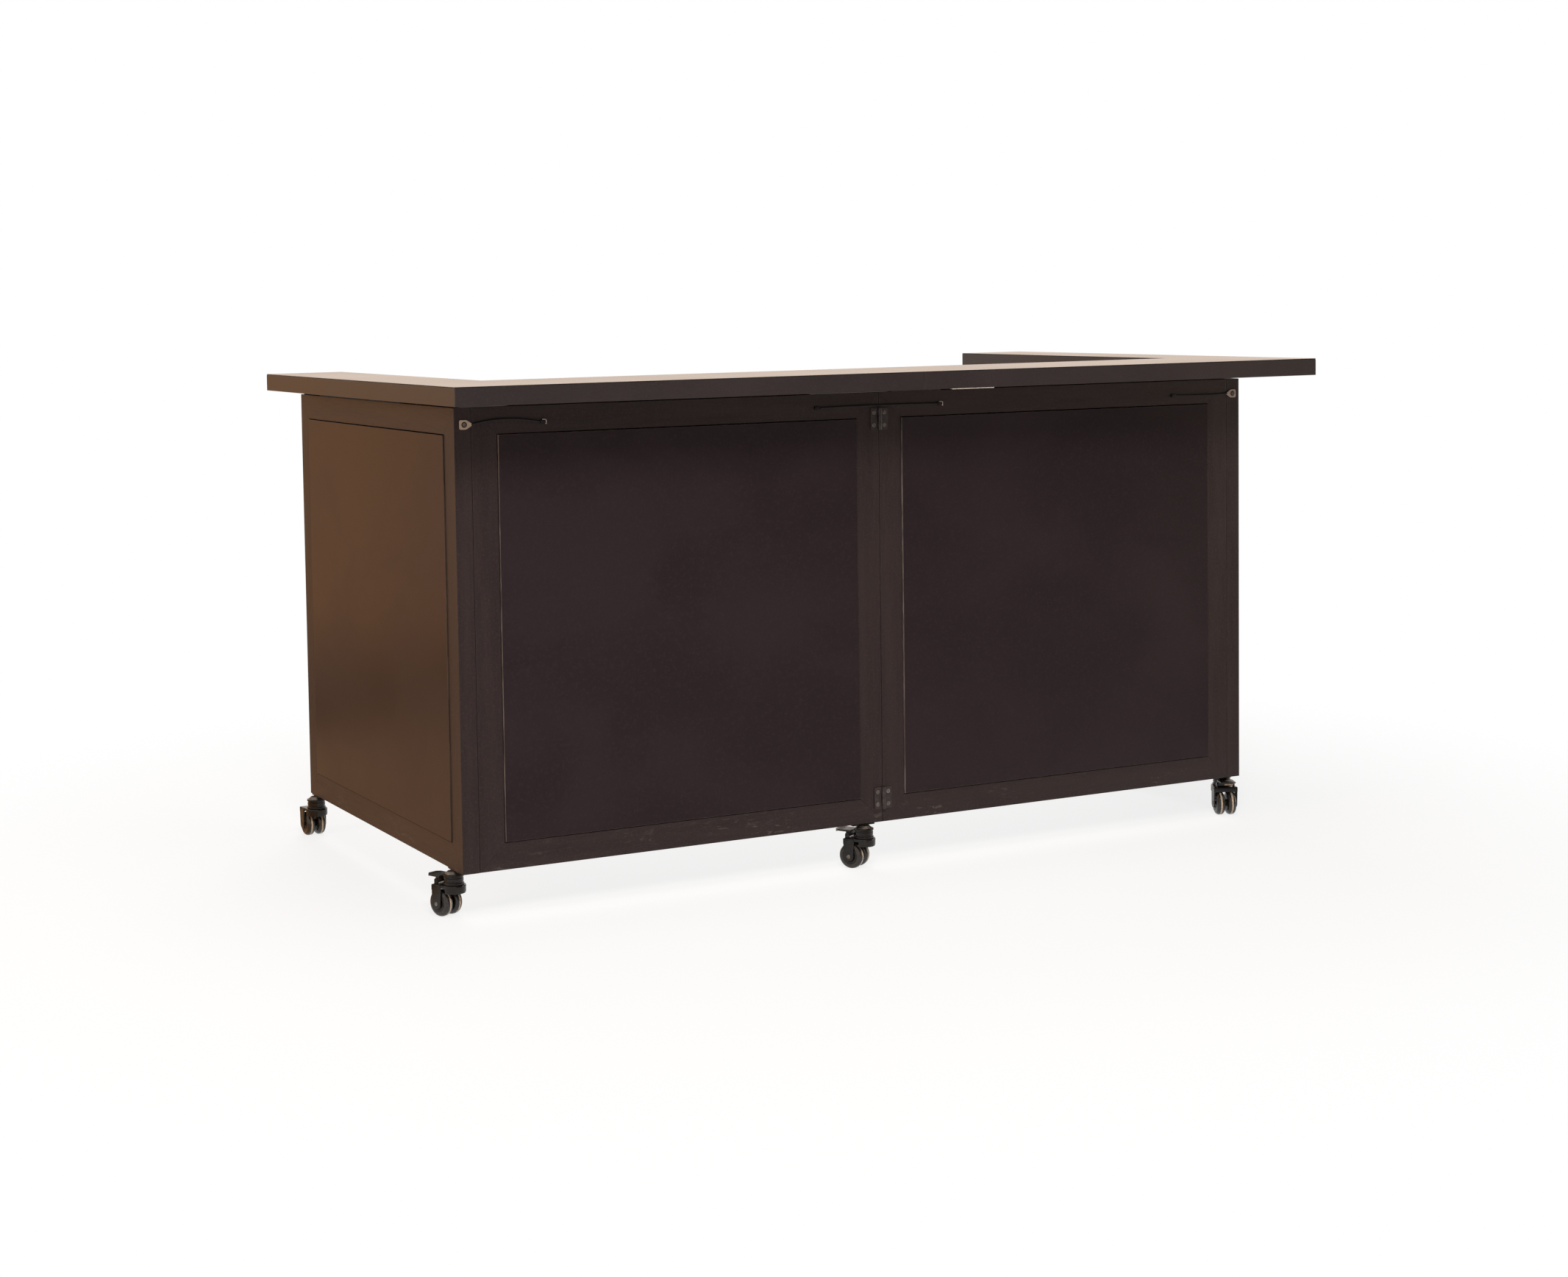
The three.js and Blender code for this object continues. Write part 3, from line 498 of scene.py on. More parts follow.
PANEL_HEIGHT = PANEL_TOP - FLOOR_TO_PANEL
MITRE_GAP = 0.16
MEMBER_ROUND = 1.1
FIELD_ROUND = 0.7
PLACES = {
    "front_left": shift(-PANEL_WIDTH - SEAM_HALF, FACE_Y, 0),
    "front_right": shift(SEAM_HALF, FACE_Y, 0),
    "left_wing": shift(-BODY_HALF, FACE_Y + PANEL_WIDTH, 0) @ turn(-90, "Z"),
    "right_wing": shift(BODY_HALF, FACE_Y, 0) @ turn(90, "Z"),
}


def grain_map(bm, seed):
    """A map in metres whose first axis runs along the grain, in Z. Each seed shows another part of the wood."""
    layer = bm.loops.layers.uv.new("grain")
    for face in bm.faces:
        for loop in face.loops:
            spot = loop.vert.co
            loop[layer].uv = (spot.z + seed * 1.37, spot.x + spot.y + seed * 0.61)


def frame_member(length, seed):
    """One member of a frame, standing on Z with its outer edge at X = 0, mitred at both ends."""
    back = FRAME_FACE - REBATE
    section = [
        (0, 0), (FRAME_FACE, 0), (FRAME_FACE, FRAME_LIP), (back, FRAME_LIP), (back, PANEL_THICK), (0, PANEL_THICK),
    ]
    bm = slab(section, 0, length)
    half = length * MM / 2
    long_edges = [e for e in bm.edges if abs(e.verts[0].co.z - e.verts[1].co.z) > half]
    round_edges(bm, long_edges, MEMBER_ROUND, 3)
    gap = MITRE_GAP * MM
    for spot, lean in (((0, 0, gap), (1, 0, -1)), ((0, 0, length * MM - gap), (1, 0, 1))):
        bmesh.ops.bisect_plane(
            bm, geom=bm.verts[:] + bm.edges[:] + bm.faces[:], plane_co=spot, plane_no=Vector(lean).normalized(),
            clear_outer=True,
        )
        bmesh.ops.holes_fill(bm, edges=[e for e in bm.edges if e.is_boundary], sides=0)
    grain_map(bm, seed)
    return bm


def build_frame(panel, number):
    members = {
        "left_stile": (PANEL_HEIGHT, shift(0, 0, FLOOR_TO_PANEL)),
        "right_stile": (PANEL_HEIGHT, shift(PANEL_WIDTH, 0, PANEL_TOP) @ turn(180, "Y")),
        "bottom_rail": (PANEL_WIDTH, shift(PANEL_WIDTH, 0, FLOOR_TO_PANEL) @ turn(-90, "Y")),
        "top_rail": (PANEL_WIDTH, shift(0, 0, PANEL_TOP) @ turn(90, "Y")),
    }
    for step, (member, (length, place)) in enumerate(members.items()):
        bm = moved(frame_member(length, 4 * number + step), PLACES[panel] @ place)
        make(panel + "_" + member, bm, FRAME, panel, [panel + "_frame"])


def build_infill(panel):
    """A board with a flange behind the frame's lip and a field that stands proud of its face."""
    left = FRAME_FACE + FIT - REBATE
    low = FLOOR_TO_PANEL + FRAME_FACE + FIT - REBATE
    high = PANEL_TOP - FRAME_FACE - FIT + REBATE
    front = FRAME_LIP + FIT
    bm = bmesh.new()
    bmesh.ops.create_cube(bm, size=1)
    size = (PANEL_WIDTH - 2 * left, INFILL_FLANGE, high - low)
    middle = shift(PANEL_WIDTH / 2, front + INFILL_FLANGE / 2, (low + high) / 2)
    moved(bm, middle @ Matrix.Diagonal((*(length * MM for length in size), 1)))
    face = min(bm.faces, key=lambda f: f.calc_center_median().y)
    bmesh.ops.inset_region(bm, faces=[face], thickness=(REBATE - FIT + INFILL_GAP) * MM, use_even_offset=True)
    grown = bmesh.ops.extrude_face_region(bm, geom=[face])
    verts = [g for g in grown["geom"] if isinstance(g, bmesh.types.BMVert)]
    bmesh.ops.translate(bm, verts=verts, vec=(0, -(front + INFILL_PROUD) * MM, 0))
    bmesh.ops.recalc_face_normals(bm, faces=bm.faces[:])
    proud = -INFILL_PROUD * MM
    field = [e for e in bm.edges if all(abs(v.co.y - proud) < 1e-6 for v in e.verts)]
    round_edges(bm, field, FIELD_ROUND, 3)
    # The field's side faces take the second material, painted paler: a painted highlight on the front boards,
    # painted light over the shade on the wings.
    for f in bm.faces:
        before_flange = f.calc_center_median().y < front * MM * 0.9
        f.material_index = 1 if before_flange and f.normal.y > -0.95 else 0
    board = moved(bm, PLACES[panel])
    edge = FRONT_EDGE_HIGHLIGHT if panel.startswith("front") else WING_EDGE_PAINTED_LIGHT
    make(panel + "_infill_board", board, [INFILL, edge], panel, [panel + "_infill"])


for number, panel in enumerate(PLACES):
    build_frame(panel, number)
    build_infill(panel)


# Counter halves: a board with an edge band under a thin top sheet

SHEET_THICK = 1.6
BAND_ROUND = 1.2


def counter_plan(side, inset):
    seam = SEAM_HALF + inset
    end = TOP_HALF - inset
    inner = TOP_HALF - RETURN_WIDTH + inset
    front = TOP_FRONT + inset
    back = TOP_BACK - inset
    turn_back = TOP_FRONT + COUNTER_DEPTH - inset
    plan = [(seam, front), (end, front), (end, back), (inner, back), (inner, turn_back), (seam, turn_back)]
    return [(side * x, y) for x, y in plan]


def build_counter(name, side, body):
    joint = BAR_HEIGHT - SHEET_THICK
    board = slab(counter_plan(side, 0), TOP_UNDERSIDE, joint - 0.25, range(6), BAND_ROUND, 0.7, 3)
    make(name + "_counter_board", board, EDGE_BAND, body, [name + "_counter"])
    sheet = slab(counter_plan(side, 0.15), joint + 0.2, BAR_HEIGHT, range(6), BAND_ROUND, 0.5, 3)
    make(name + "_counter_sheet", sheet, TOP_SHEET, body, [name + "_counter"])
    core = slab(counter_plan(side, 1.6), joint - 1, joint + 0.6)
    make(name + "_counter_glue_line", core, RECESS_SHADE_AND_GLUE, body, [name + "_counter"])


def build_edge_strip():
    """A bright strip under the front edge, right of the seam."""
    left, right = 69, 174
    plan = oblong(left, right, TOP_FRONT + 0.2, TOP_FRONT + 9)
    strip = slab(plan, TOP_UNDERSIDE - 1.4, TOP_UNDERSIDE, rim=0.3)
    make("counter_edge_strip", strip, PALE_STRIP_AND_HIGHLIGHT, "right_top")


build_counter("left", -1, "left_top")
build_counter("right", 1, "right_top")
build_edge_strip()


# Screws

HINGE_SCREW_R = 4.3
TAB_SCREW_R = 3.6


def screw(radius):
    """A head that faces -Y at the origin: a light rim round a dark dish with a cross recess. The dish's near-black
    is painted shade in the head's hollow.
    """
    rim_in, rim_out = radius * 0.68, radius * 0.86
    profile = [(radius * 0.6, 0.1), (rim_in, 0.5), (rim_out, 0.5), (radius, 0.12), (radius, -0.5), (0, -0.5)]
    head = numbered(spun(profile, 28), 0)
    dish_r = radius * 0.64
    # The dish is painted near-black, a painted shade in the hollow of the head.
    dish = numbered(spun([(0, 0.3), (dish_r, 0.3), (dish_r, -0.2), (0, -0.2)], 28), 1)
    long, short = radius * 0.5, radius * 0.14
    arms = [
        (short, short), (short, long), (-short, long), (-short, short), (-long, short), (-long, -short),
        (-short, -short), (-short, -long), (short, -long), (short, -short), (long, -short), (long, short),
    ]
    cross = numbered(slab(arms, 0.2, 0.38), 0)
    return upright(joined(head, dish, cross))


# Hinges: the axis is at the origin along Z, the screwed face at Y = off

KNUCKLE_GAP = 0.4
CENTRE_HINGE = dict(knuckle=4, pin=2, leaf=2, off=5, width=21.5, height=47, inset=10)
CORNER_HINGE = dict(knuckle=6, pin=3, leaf=2.5, off=7, width=28, height=60, inset=13)
CENTRE_HINGE_LEVELS = {"lower": 126, "upper": 950}
CORNER_HINGE_LEVELS = {"lower": 130, "upper": 935}


def knuckle(radius, low, high):
    bm = bmesh.new()
    bmesh.ops.create_cone(
        bm, cap_ends=True, segments=32, radius1=radius * MM, radius2=radius * MM, depth=(high - low) * MM,
    )
    round_edges(bm, sharp_edges(bm), 0.4)
    return moved(bm, shift(0, 0, (low + high) / 2))


def hinge_leaf(h, side, pinned):
    """A plate with its knuckles. The pinned leaf has the two outer ones and the pin."""
    third = h["height"] / 3
    wall = h["off"] - FIT
    face = wall - h["leaf"]
    half_gap = KNUCKLE_GAP / 2
    near = side * (h["knuckle"] + KNUCKLE_GAP)
    far = side * h["width"]
    parts = [upright(slab(oblong(near, far, 0, h["height"]), -wall, -face, (1, 2), 3.0, 0.45))]
    if pinned:
        spans = [(0, third - half_gap), (2 * third + half_gap, h["height"])]
    else:
        spans = [(third + half_gap, 2 * third - half_gap)]
    for low, high in spans:
        strap = oblong(0, near + side * 1.0, low, high)
        parts.append(upright(slab(strap, -wall, -face - 0.01, rim=0.25)))
        parts.append(knuckle(h["knuckle"], low, high))
    if pinned:
        parts.append(knuckle(h["pin"], FIT, h["height"] - FIT))
    return joined(*[numbered(p, 0) for p in parts])


def hinge_screws(h, side):
    middle = side * (h["knuckle"] + KNUCKLE_GAP + h["width"]) / 2
    face = h["off"] - FIT - h["leaf"]
    levels = (h["inset"], h["height"] - h["inset"])
    return joined(*[moved(screw(HINGE_SCREW_R), shift(middle, face, z)) for z in levels])


def build_leaf(node, h, side, pinned, place, body):
    leaf = moved(hinge_leaf(h, side, pinned), place)
    make(node + "_plate", leaf, BLACK_STEEL, body, [node], HARDWARE_ANGLE)
    heads = moved(hinge_screws(h, side), place)
    make(node + "_screws", heads, [SCREW_STEEL, RECESS_SHADE_AND_GLUE], body, (), HARDWARE_ANGLE)


for level, z in CENTRE_HINGE_LEVELS.items():
    place = shift(0, FACE_Y - CENTRE_HINGE["off"], z)
    build_leaf(level + "_centre_hinge_left_leaf", CENTRE_HINGE, -1, True, place, "front_left")
    build_leaf(level + "_centre_hinge_right_leaf", CENTRE_HINGE, 1, False, place, "front_right")
for level, z in CORNER_HINGE_LEVELS.items():
    corner_x = BODY_HALF - PANEL_THICK - CORNER_HINGE["off"]
    corner_y = FACE_Y + PANEL_THICK + CORNER_HINGE["off"]
    left = shift(-corner_x, corner_y, z)
    right = shift(corner_x, corner_y, z)
    front = turn(180, "Z")
    build_leaf(level + "_left_hinge_front_leaf", CORNER_HINGE, -1, True, left @ front, "front_left")
    build_leaf(level + "_left_hinge_wing_leaf", CORNER_HINGE, 1, False, left @ turn(90, "Z"), "left_wing")
    build_leaf(level + "_right_hinge_front_leaf", CORNER_HINGE, 1, True, right @ front, "front_right")
    build_leaf(level + "_right_hinge_wing_leaf", CORNER_HINGE, -1, False, right @ turn(-90, "Z"), "right_wing")


# Casters: the swivel axis is at the origin, and the wheels trail towards +X

WHEEL_R = 27.5
TRAIL = 23
TYRE_IN, TYRE_OUT = 3, 23
TYRE_ROUND = 8
CROWN_R = 27.3
CROWN_HALF = 2
HUB_R = 17
NECK_R = 21.5
NECK_FOOT, NECK_RING, NECK_HEAD = 67.3, 70.8, 88
HOOD_R = 25
HOOD_END = 36
HOOD_LOW, HOOD_TOP = 60, 67
CHEEK_IN, CHEEK_OUT = 24.5, 28
EAR_IN, EAR_OUT = 18.3, 21.3
PEDAL_LOW, PEDAL_TOP = 79, 83
PEDAL_END = 63
PEDAL_PIN_X, PEDAL_PIN_Z = 30, 73


def caster_stem():
    """A ringed neck under a flat plate."""
    neck = spun([
        (0, 57.5), (8, 57.5), (8, 59.7), (5, 59.7), (5, NECK_FOOT), (NECK_R, NECK_FOOT), (NECK_R, NECK_RING),
        (19.4, 71.6), (19.4, 73.4), (20.3, 74.2), (20.3, 80.4), (19.4, 81.2), (19.4, 83.4), (NECK_R, 84.5),
        (NECK_R, NECK_HEAD), (14, 88.6), (14, 90), (0, 90),
    ])
    rings = [e for height in (NECK_FOOT, NECK_HEAD, NECK_RING) for e in ring_edges(neck, NECK_R, height)]
    round_edges(neck, rings, 0.7)
    plate = slab(oblong(-28, 28, -1.5, 31), 93.7, 96.7, range(4), 3, 0.6)
    return joined(neck, plate)


def caster_cap():
    """A cone between the neck and its plate."""
    return spun([(0, 88.3), (17.5, 88.3), (17.5, 89.0), (12.5, 93.6), (0, 93.6)])


def hood_skirt():
    """The front of the hood, drawn down half-way round the swivel."""
    bm = bmesh.new()
    section = [(HOOD_R, 62), (HOOD_R, 53), (23.8, 50), (22.4, 51), (22.4, 62)]
    verts = [bm.verts.new((0, r, h)) for r, h in scaled(section)]
    edges = [bm.edges.new(pair) for pair in zip(verts, verts[1:] + verts[:1])]
    bmesh.ops.spin(
        bm, geom=verts + edges, cent=(0, 0, 0), axis=(0, 0, 1), angle=pi, steps=28, use_merge=False,
    )
    bmesh.ops.holes_fill(bm, edges=[e for e in bm.edges if e.is_boundary], sides=0)
    bmesh.ops.recalc_face_normals(bm, faces=bm.faces[:])
    return bm


def both_sides(outline, inner, outer, *rounding):
    """Two upright plates of one outline, at -Y and at +Y."""
    return [upright(slab(outline, -high, -low, *rounding)) for low, high in ((inner, outer), (-outer, -inner))]


def caster_hood(braked):
    """A plate with a skirt, two cheeks and a tail. A braked one has two ears that hold the pedal's pin."""
    plan = [
        (-HOOD_R, -HOOD_R), (0, -HOOD_R), (TRAIL, -CHEEK_OUT), (HOOD_END, -CHEEK_OUT),
        (HOOD_END, CHEEK_OUT), (TRAIL, CHEEK_OUT), (0, HOOD_R), (-HOOD_R, HOOD_R),
    ]
    parts = [slab(plan, HOOD_LOW, HOOD_TOP, (0, 7), 24.5, 2.4, 12), hood_skirt()]
    inside = HOOD_TOP - 1
    cheek = [(11.5, inside), (12, 16.5), (34, 16.5), (HOOD_END, 49), (HOOD_END, inside)]
    parts += both_sides(cheek, CHEEK_IN, CHEEK_OUT, (1, 2), 10.5, 1.3, 8)
    parts.append(slab(oblong(33, HOOD_END, -CHEEK_OUT, CHEEK_OUT), 54.6, inside, rim=0.9))
    if braked:
        parts += both_sides(oblong(25, 35, inside, 78), EAR_IN, EAR_OUT, (2, 3), 4.8, 0.6, 6)
    return joined(*parts)


def axle_cap():
    return spun([(0, 29.4), (2.5, 29.2), (4.4, 28.6), (4.6, 27.6), (0, 27.6)], 28)


def caster_wheels():
    """Two round-shouldered tyres with dished hubs on one axle, turned about Z and then laid along Y."""
    half = [
        (8, 0), (8, TYRE_IN), (WHEEL_R, TYRE_IN), (WHEEL_R, TYRE_OUT), (17.5, TYRE_OUT), (16.5, 22.2),
        (15.5, TYRE_OUT), (13, TYRE_OUT), (10.5, 20.5), (4, 20.5), (4, 28.3), (0, 28.3),
    ]
    bm = spun([(r, -h) for r, h in reversed(half[1:])] + half, 56)
    for side in (1, -1):
        shoulders = ring_edges(bm, WHEEL_R, TYRE_IN * side) + ring_edges(bm, WHEEL_R, TYRE_OUT * side)
        round_edges(bm, shoulders, TYRE_ROUND, 6)
    tyre_middle = (TYRE_IN + TYRE_OUT) / 2 * MM
    # Faces on each tread's crown take the third material, a painted highlight; the hub's faces take the second.
    for face in bm.faces:
        spot = face.calc_center_median()
        from_axis = spot.xy.length
        on_highlight_band = from_axis > CROWN_R * MM and abs(abs(spot.z) - tyre_middle) < CROWN_HALF * MM
        face.material_index = 2 if on_highlight_band else 0 if from_axis > HUB_R * MM else 1
    return moved(bm, shift(TRAIL, 0, WHEEL_R) @ turn(90, "X"))


def brake_pedal():
    """A ribbed plate with a worn lip, on a foot that turns on a pin between the hood's ears."""
    parts = [slab(oblong(24, PEDAL_END, -18, 18), PEDAL_LOW, PEDAL_TOP, (1, 2), 8.2, 1.0, 1)]
    parts.append(numbered(slab(oblong(60.5, PEDAL_END, -10, 10), 76, 82.4, rim=0.7), 1))
    parts.append(upright(slab(oblong(25.5, 34.5, 68.5, 80), -17.8, 17.8, (0, 1), 4.4, 0.6, 6)))
    for x in (48, 52, 56):
        parts.append(slab(oblong(x, x + 1.6, -12, 12), PEDAL_TOP - 0.4, PEDAL_TOP + 0.5, range(4), 0.7, 0.3))
    parts.append(moved(upright(knuckle(1.8, -EAR_OUT, EAR_OUT)), shift(PEDAL_PIN_X, 0, PEDAL_PIN_Z)))
    return joined(*parts)


# Each caster's place, the way its plate points, the way its wheels trail, whether it has a brake, and its panel
CASTERS = {
    "front_left": (-979.5, -339.5, 0, 112, True, "left_wing"),
    "rear_left": (-979.5, 515.5, 0, 92, False, "left_wing"),
    "front_right": (979.5, -339.5, 180, 246, True, "right_wing"),
    "rear_right": (979.5, 515.5, 180, 88, False, "right_wing"),
    "centre": (-47, -396.5, 90, 121, True, "front_left"),
}


def build_caster(name, x, y, inward, trail, braked, panel):
    fixed = shift(x, y, 0) @ turn(inward - 90, "Z")
    swung = shift(x, y, 0) @ turn(trail, "Z")
    axle = swung @ shift(TRAIL, 0, WHEEL_R)
    node = name + "_caster_"
    wheels = name + "_wheels"
    neck = moved(caster_stem(), fixed)
    make(node + "neck", neck, CASTER_BLACK, panel, [node + "stem"], 35)
    cone = moved(caster_cap(), fixed)
    make(node + "cap", cone, CAP_GREY, panel, [node + "stem"], 35)
    hood = moved(caster_hood(braked), swung)
    make(node + "fork", hood, CASTER_BLACK, name + "_swivel", [node + "hood"], HARDWARE_ANGLE)
    for end, flip in (("near", 90), ("far", -90)):
        cap = moved(axle_cap(), axle @ turn(flip, "X"))
        make(node + end + "_axle_cap", cap, CAP_GREY, wheels, (), HARDWARE_ANGLE)
    pair = moved(caster_wheels(), swung)
    make(node + "twin_wheels", pair, [TREAD, HUB, CROWN_HIGHLIGHT], wheels, [node + "wheels"], HARDWARE_ANGLE)
    if braked:
        pedal = moved(brake_pedal(), swung)
        make(
            node + "foot_pedal", pedal, [PEDAL_BLACK, WORN_TIP], name + "_pedal", [node + "pedal"],
            HARDWARE_ANGLE,
        )


for name, values in CASTERS.items():
    build_caster(name, *values)


# Elastic cords with their clips and tabs

CORD_R = 2.1
CORD_Y = FACE_Y - FIT - CORD_R
CORNER_CORD_Z = 997
CENTRE_CORD_Z = 1001
CORNER_START = BODY_HALF - 38
CORNER_END = BODY_HALF - 184
CENTRE_HALF = 147
# A plate drawn from this height up lies on the panels' outer face once it stands upright
MOUNT = -FACE_Y + FIT
CLIP_OFFSET = 7.5
CLIP_HALF_LENGTH, CLIP_HALF_WIDTH = 6.5, 4
CLIP_THICK = 3.6
TAB_BLUNT = BODY_HALF - 11
TAB_THICK = 2.5
TAB_SCREW_X = TAB_BLUNT - 10


def cord_path(x0, x1, z0, rise, steps):
    """Points from x0 to x1 along a bow that rises by this much at its middle."""
    spots = []
    for i in range(steps + 1):
        t = i / steps
        spots.append(Vector((x0 + (x1 - x0) * t, CORD_Y, z0 + 4 * rise * t * (1 - t))) * MM)
    return spots


def cord_tube(path):
    """A round tube along a path that runs in X, with a map along and around it."""
    bm = bmesh.new()
    layer = bm.loops.layers.uv.new("braid")
    ring = bmesh.ops.create_circle(bm, cap_ends=False, segments=14, radius=CORD_R * MM)["verts"]
    moved(bm, Matrix.Translation(path[0]) @ turn(90, "Y"))
    edges = list({e for v in ring for e in v.link_edges})
    first = list(edges)
    for a, b in zip(path, path[1:]):
        grown = bmesh.ops.extrude_edge_only(bm, edges=edges)["geom"]
        edges = [g for g in grown if isinstance(g, bmesh.types.BMEdge) and len(g.link_faces) == 1]
        verts = [g for g in grown if isinstance(g, bmesh.types.BMVert)]
        bmesh.ops.translate(bm, verts=verts, vec=b - a)
    for loop_edges in (first, edges):
        bmesh.ops.contextual_create(bm, geom=loop_edges)
    bmesh.ops.recalc_face_normals(bm, faces=bm.faces[:])
    for face in bm.faces:
        for loop in face.loops:
            spot = loop.vert.co
            mid = min(path, key=lambda p: abs(p.x - spot.x))
            around = (spot - mid).normalized()
            loop[layer].uv = (spot.x, 0.5 + 0.25 * around.z + 0.25 * around.y)
    return bm


def build_cord(name, x0, x1, z0, rise, steps=36):
    """A cord that bows from x0 to x1 and stands for its node. It rides on no body."""
    path = cord_path(x0, x1, z0, rise, steps)
    piece = make(name + "_elastic", cord_tube(path), SHEATH, None, [name])
    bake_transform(piece)


def build_clip(node, x, z, bright_end, body):
    """A crimped sleeve with a rivet. With bright_end -1 or 1, that end shows a pale bent strip, a painted
    highlight on the clip's end.
    """
    outline = oblong(x - CLIP_HALF_LENGTH, x + CLIP_HALF_LENGTH, z - CLIP_HALF_WIDTH, z + CLIP_HALF_WIDTH)
    sleeve = upright(slab(outline, MOUNT, MOUNT + CLIP_THICK, range(4), 3.4, 0.9))
    make(node + "_sleeve", sleeve, CLIP_BLACK, body, [node], HARDWARE_ANGLE)
    rivet = upright(spun([(0, 4.2), (1.0, 4.1), (1.9, 3.6), (1.9, 3.2), (0, 3.2)], 24))
    moved(rivet, shift(x, -MOUNT, z))
    make(node + "_rivet", rivet, CLIP_BLACK, body, (), HARDWARE_ANGLE)
    if bright_end:
        tip = x + bright_end * 6.2
        outer = tip + bright_end * 1.4
        back = tip - bright_end * 7
        foot, knee, top = z - 4.6, z + 4.2, z + 5.4
        strip = [(tip, foot), (outer, foot), (outer, top), (back, top), (back, knee), (tip, knee)]
        # The pale colour of this strip is a painted highlight on the clip's end.
        bent = upright(slab(strip, MOUNT, MOUNT + CLIP_THICK + 0.2, (2,), 3.0, 0.3))
        make(node + "_bent_highlight_strip", bent, PALE_STRIP_AND_HIGHLIGHT, body, (), HARDWARE_ANGLE)


def build_tab(node, side, body):
    """A tab that is blunt towards the corner and narrows towards the cord, held by a screw on a washer."""
    shoulder, nose = TAB_BLUNT - 15, TAB_BLUNT - 26
    half = [(TAB_BLUNT, -9.5), (shoulder, -9.5), (nose, -2.5)]
    outline = [(side * x, CORNER_CORD_Z + z) for x, z in half + [(x, -z) for x, z in reversed(half)]]
    plate = upright(slab(outline, MOUNT, MOUNT + TAB_THICK, (0, 5, 1, 4), 3.4, 0.7, 6))
    make(node + "_plate", plate, TAB, body, [node], HARDWARE_ANGLE)
    centre = shift(side * TAB_SCREW_X, -MOUNT, CORNER_CORD_Z)
    washer = upright(spun([(0, 0.7), (5.2, 0.7), (6, 0), (0, 0)], 32))
    moved(washer, centre @ shift(0, 0.1 - TAB_THICK, 0))
    make(node + "_washer", washer, CLIP_BLACK, body, (), HARDWARE_ANGLE)
    head = moved(screw(TAB_SCREW_R), centre @ shift(0, -0.6 - TAB_THICK, 0))
    make(node + "_screw", head, [SCREW_STEEL, RECESS_SHADE_AND_GLUE], body, (), HARDWARE_ANGLE)


build_cord("left_cord", -CORNER_START, -CORNER_END, CORNER_CORD_Z, 8)
build_cord("right_cord", CORNER_START, CORNER_END, CORNER_CORD_Z, -1.5)
build_cord(
    "centre_cord", -CENTRE_HALF, CENTRE_HALF, CENTRE_CORD_Z, 1.5,
    steps=60,
)
build_clip("left_cord_clip", -CORNER_END + CLIP_OFFSET, CORNER_CORD_Z, 1, "front_left")
build_clip("right_cord_clip", CORNER_END - CLIP_OFFSET, CORNER_CORD_Z, 0, "front_right")
build_clip("centre_cord_left_clip", -CENTRE_HALF - CLIP_OFFSET, CENTRE_CORD_Z, 0, "front_left")
build_clip("centre_cord_right_clip", CENTRE_HALF + CLIP_OFFSET, CENTRE_CORD_Z, 1, "front_right")
build_tab("left_cord_tab", -1, "left_wing")
build_tab("right_cord_tab", 1, "right_wing")


# Solids that show as they are: pads, cleats and the joining plate

for name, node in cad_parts.items():
    finish = RUBBER if name.endswith("_pad") else FRAME if name.endswith("cleat") else BLACK_STEEL
    if not node.hide_render:
        node.data.materials.clear()
        node.data.materials.append(finish)


# Floor, backdrop and light

def background_rays(tree):
    """One for camera, glossy and transmission rays, nought for the rays that light the object."""
    path = tree.nodes.new("ShaderNodeLightPath")
    total = path.outputs["Is Camera Ray"]
    for kind in ("Is Glossy Ray", "Is Transmission Ray"):
        plus = tree.nodes.new("ShaderNodeMath")
        plus.operation = "ADD"
        plus.use_clamp = True
        tree.links.new(total, plus.inputs[0])
        tree.links.new(path.outputs[kind], plus.inputs[1])
        total = plus.outputs[0]
    return total


def stage_floor():
    """A pale floor that turns white to the background's rays, less so near the bar, where its shadow lies."""
    bm = bmesh.new()
    bmesh.ops.create_circle(bm, cap_ends=True, segments=64, radius=40)
    mesh = bpy.data.meshes.new("floor")
    bm.to_mesh(mesh)
    bm.free()
    floor = bpy.data.objects.new("floor", mesh)
    bpy.context.scene.collection.objects.link(floor)
    material = bpy.data.materials.new("pale_floor")
    material.use_nodes = True
    tree = material.node_tree
    nodes, links = tree.nodes, tree.links
    pale = nodes["Principled BSDF"]
    pale.inputs["Base Color"].default_value = (0.86, 0.855, 0.85, 1)
    pale.inputs["Roughness"].default_value = 0.9
    pale.inputs["Specular IOR Level"].default_value = 0.1
    white = nodes.new("ShaderNodeEmission")
    white.inputs["Strength"].default_value = 1.0
    where = nodes.new("ShaderNodeTexCoord")
    reach = nodes.new("ShaderNodeVectorMath")
    reach.operation = "LENGTH"
    fade = nodes.new("ShaderNodeMapRange")
    fade.interpolation_type = "SMOOTHSTEP"
    fade.inputs["From Min"].default_value = 1.1
    fade.inputs["From Max"].default_value = 2.4
    fade.inputs["To Min"].default_value = 0.8
    fade.inputs["To Max"].default_value = 1.0
    seen = nodes.new("ShaderNodeMath")
    seen.operation = "MULTIPLY"
    mixed = nodes.new("ShaderNodeMixShader")
    links.new(where.outputs["Object"], reach.inputs[0])
    links.new(reach.outputs["Value"], fade.inputs["Value"])
    links.new(fade.outputs["Result"], seen.inputs[0])
    links.new(background_rays(tree), seen.inputs[1])
    links.new(seen.outputs[0], mixed.inputs["Fac"])
    links.new(pale.outputs[0], mixed.inputs[1])
    links.new(white.outputs[0], mixed.inputs[2])
    links.new(mixed.outputs[0], nodes["Material Output"].inputs["Surface"])
    mesh.materials.append(material)


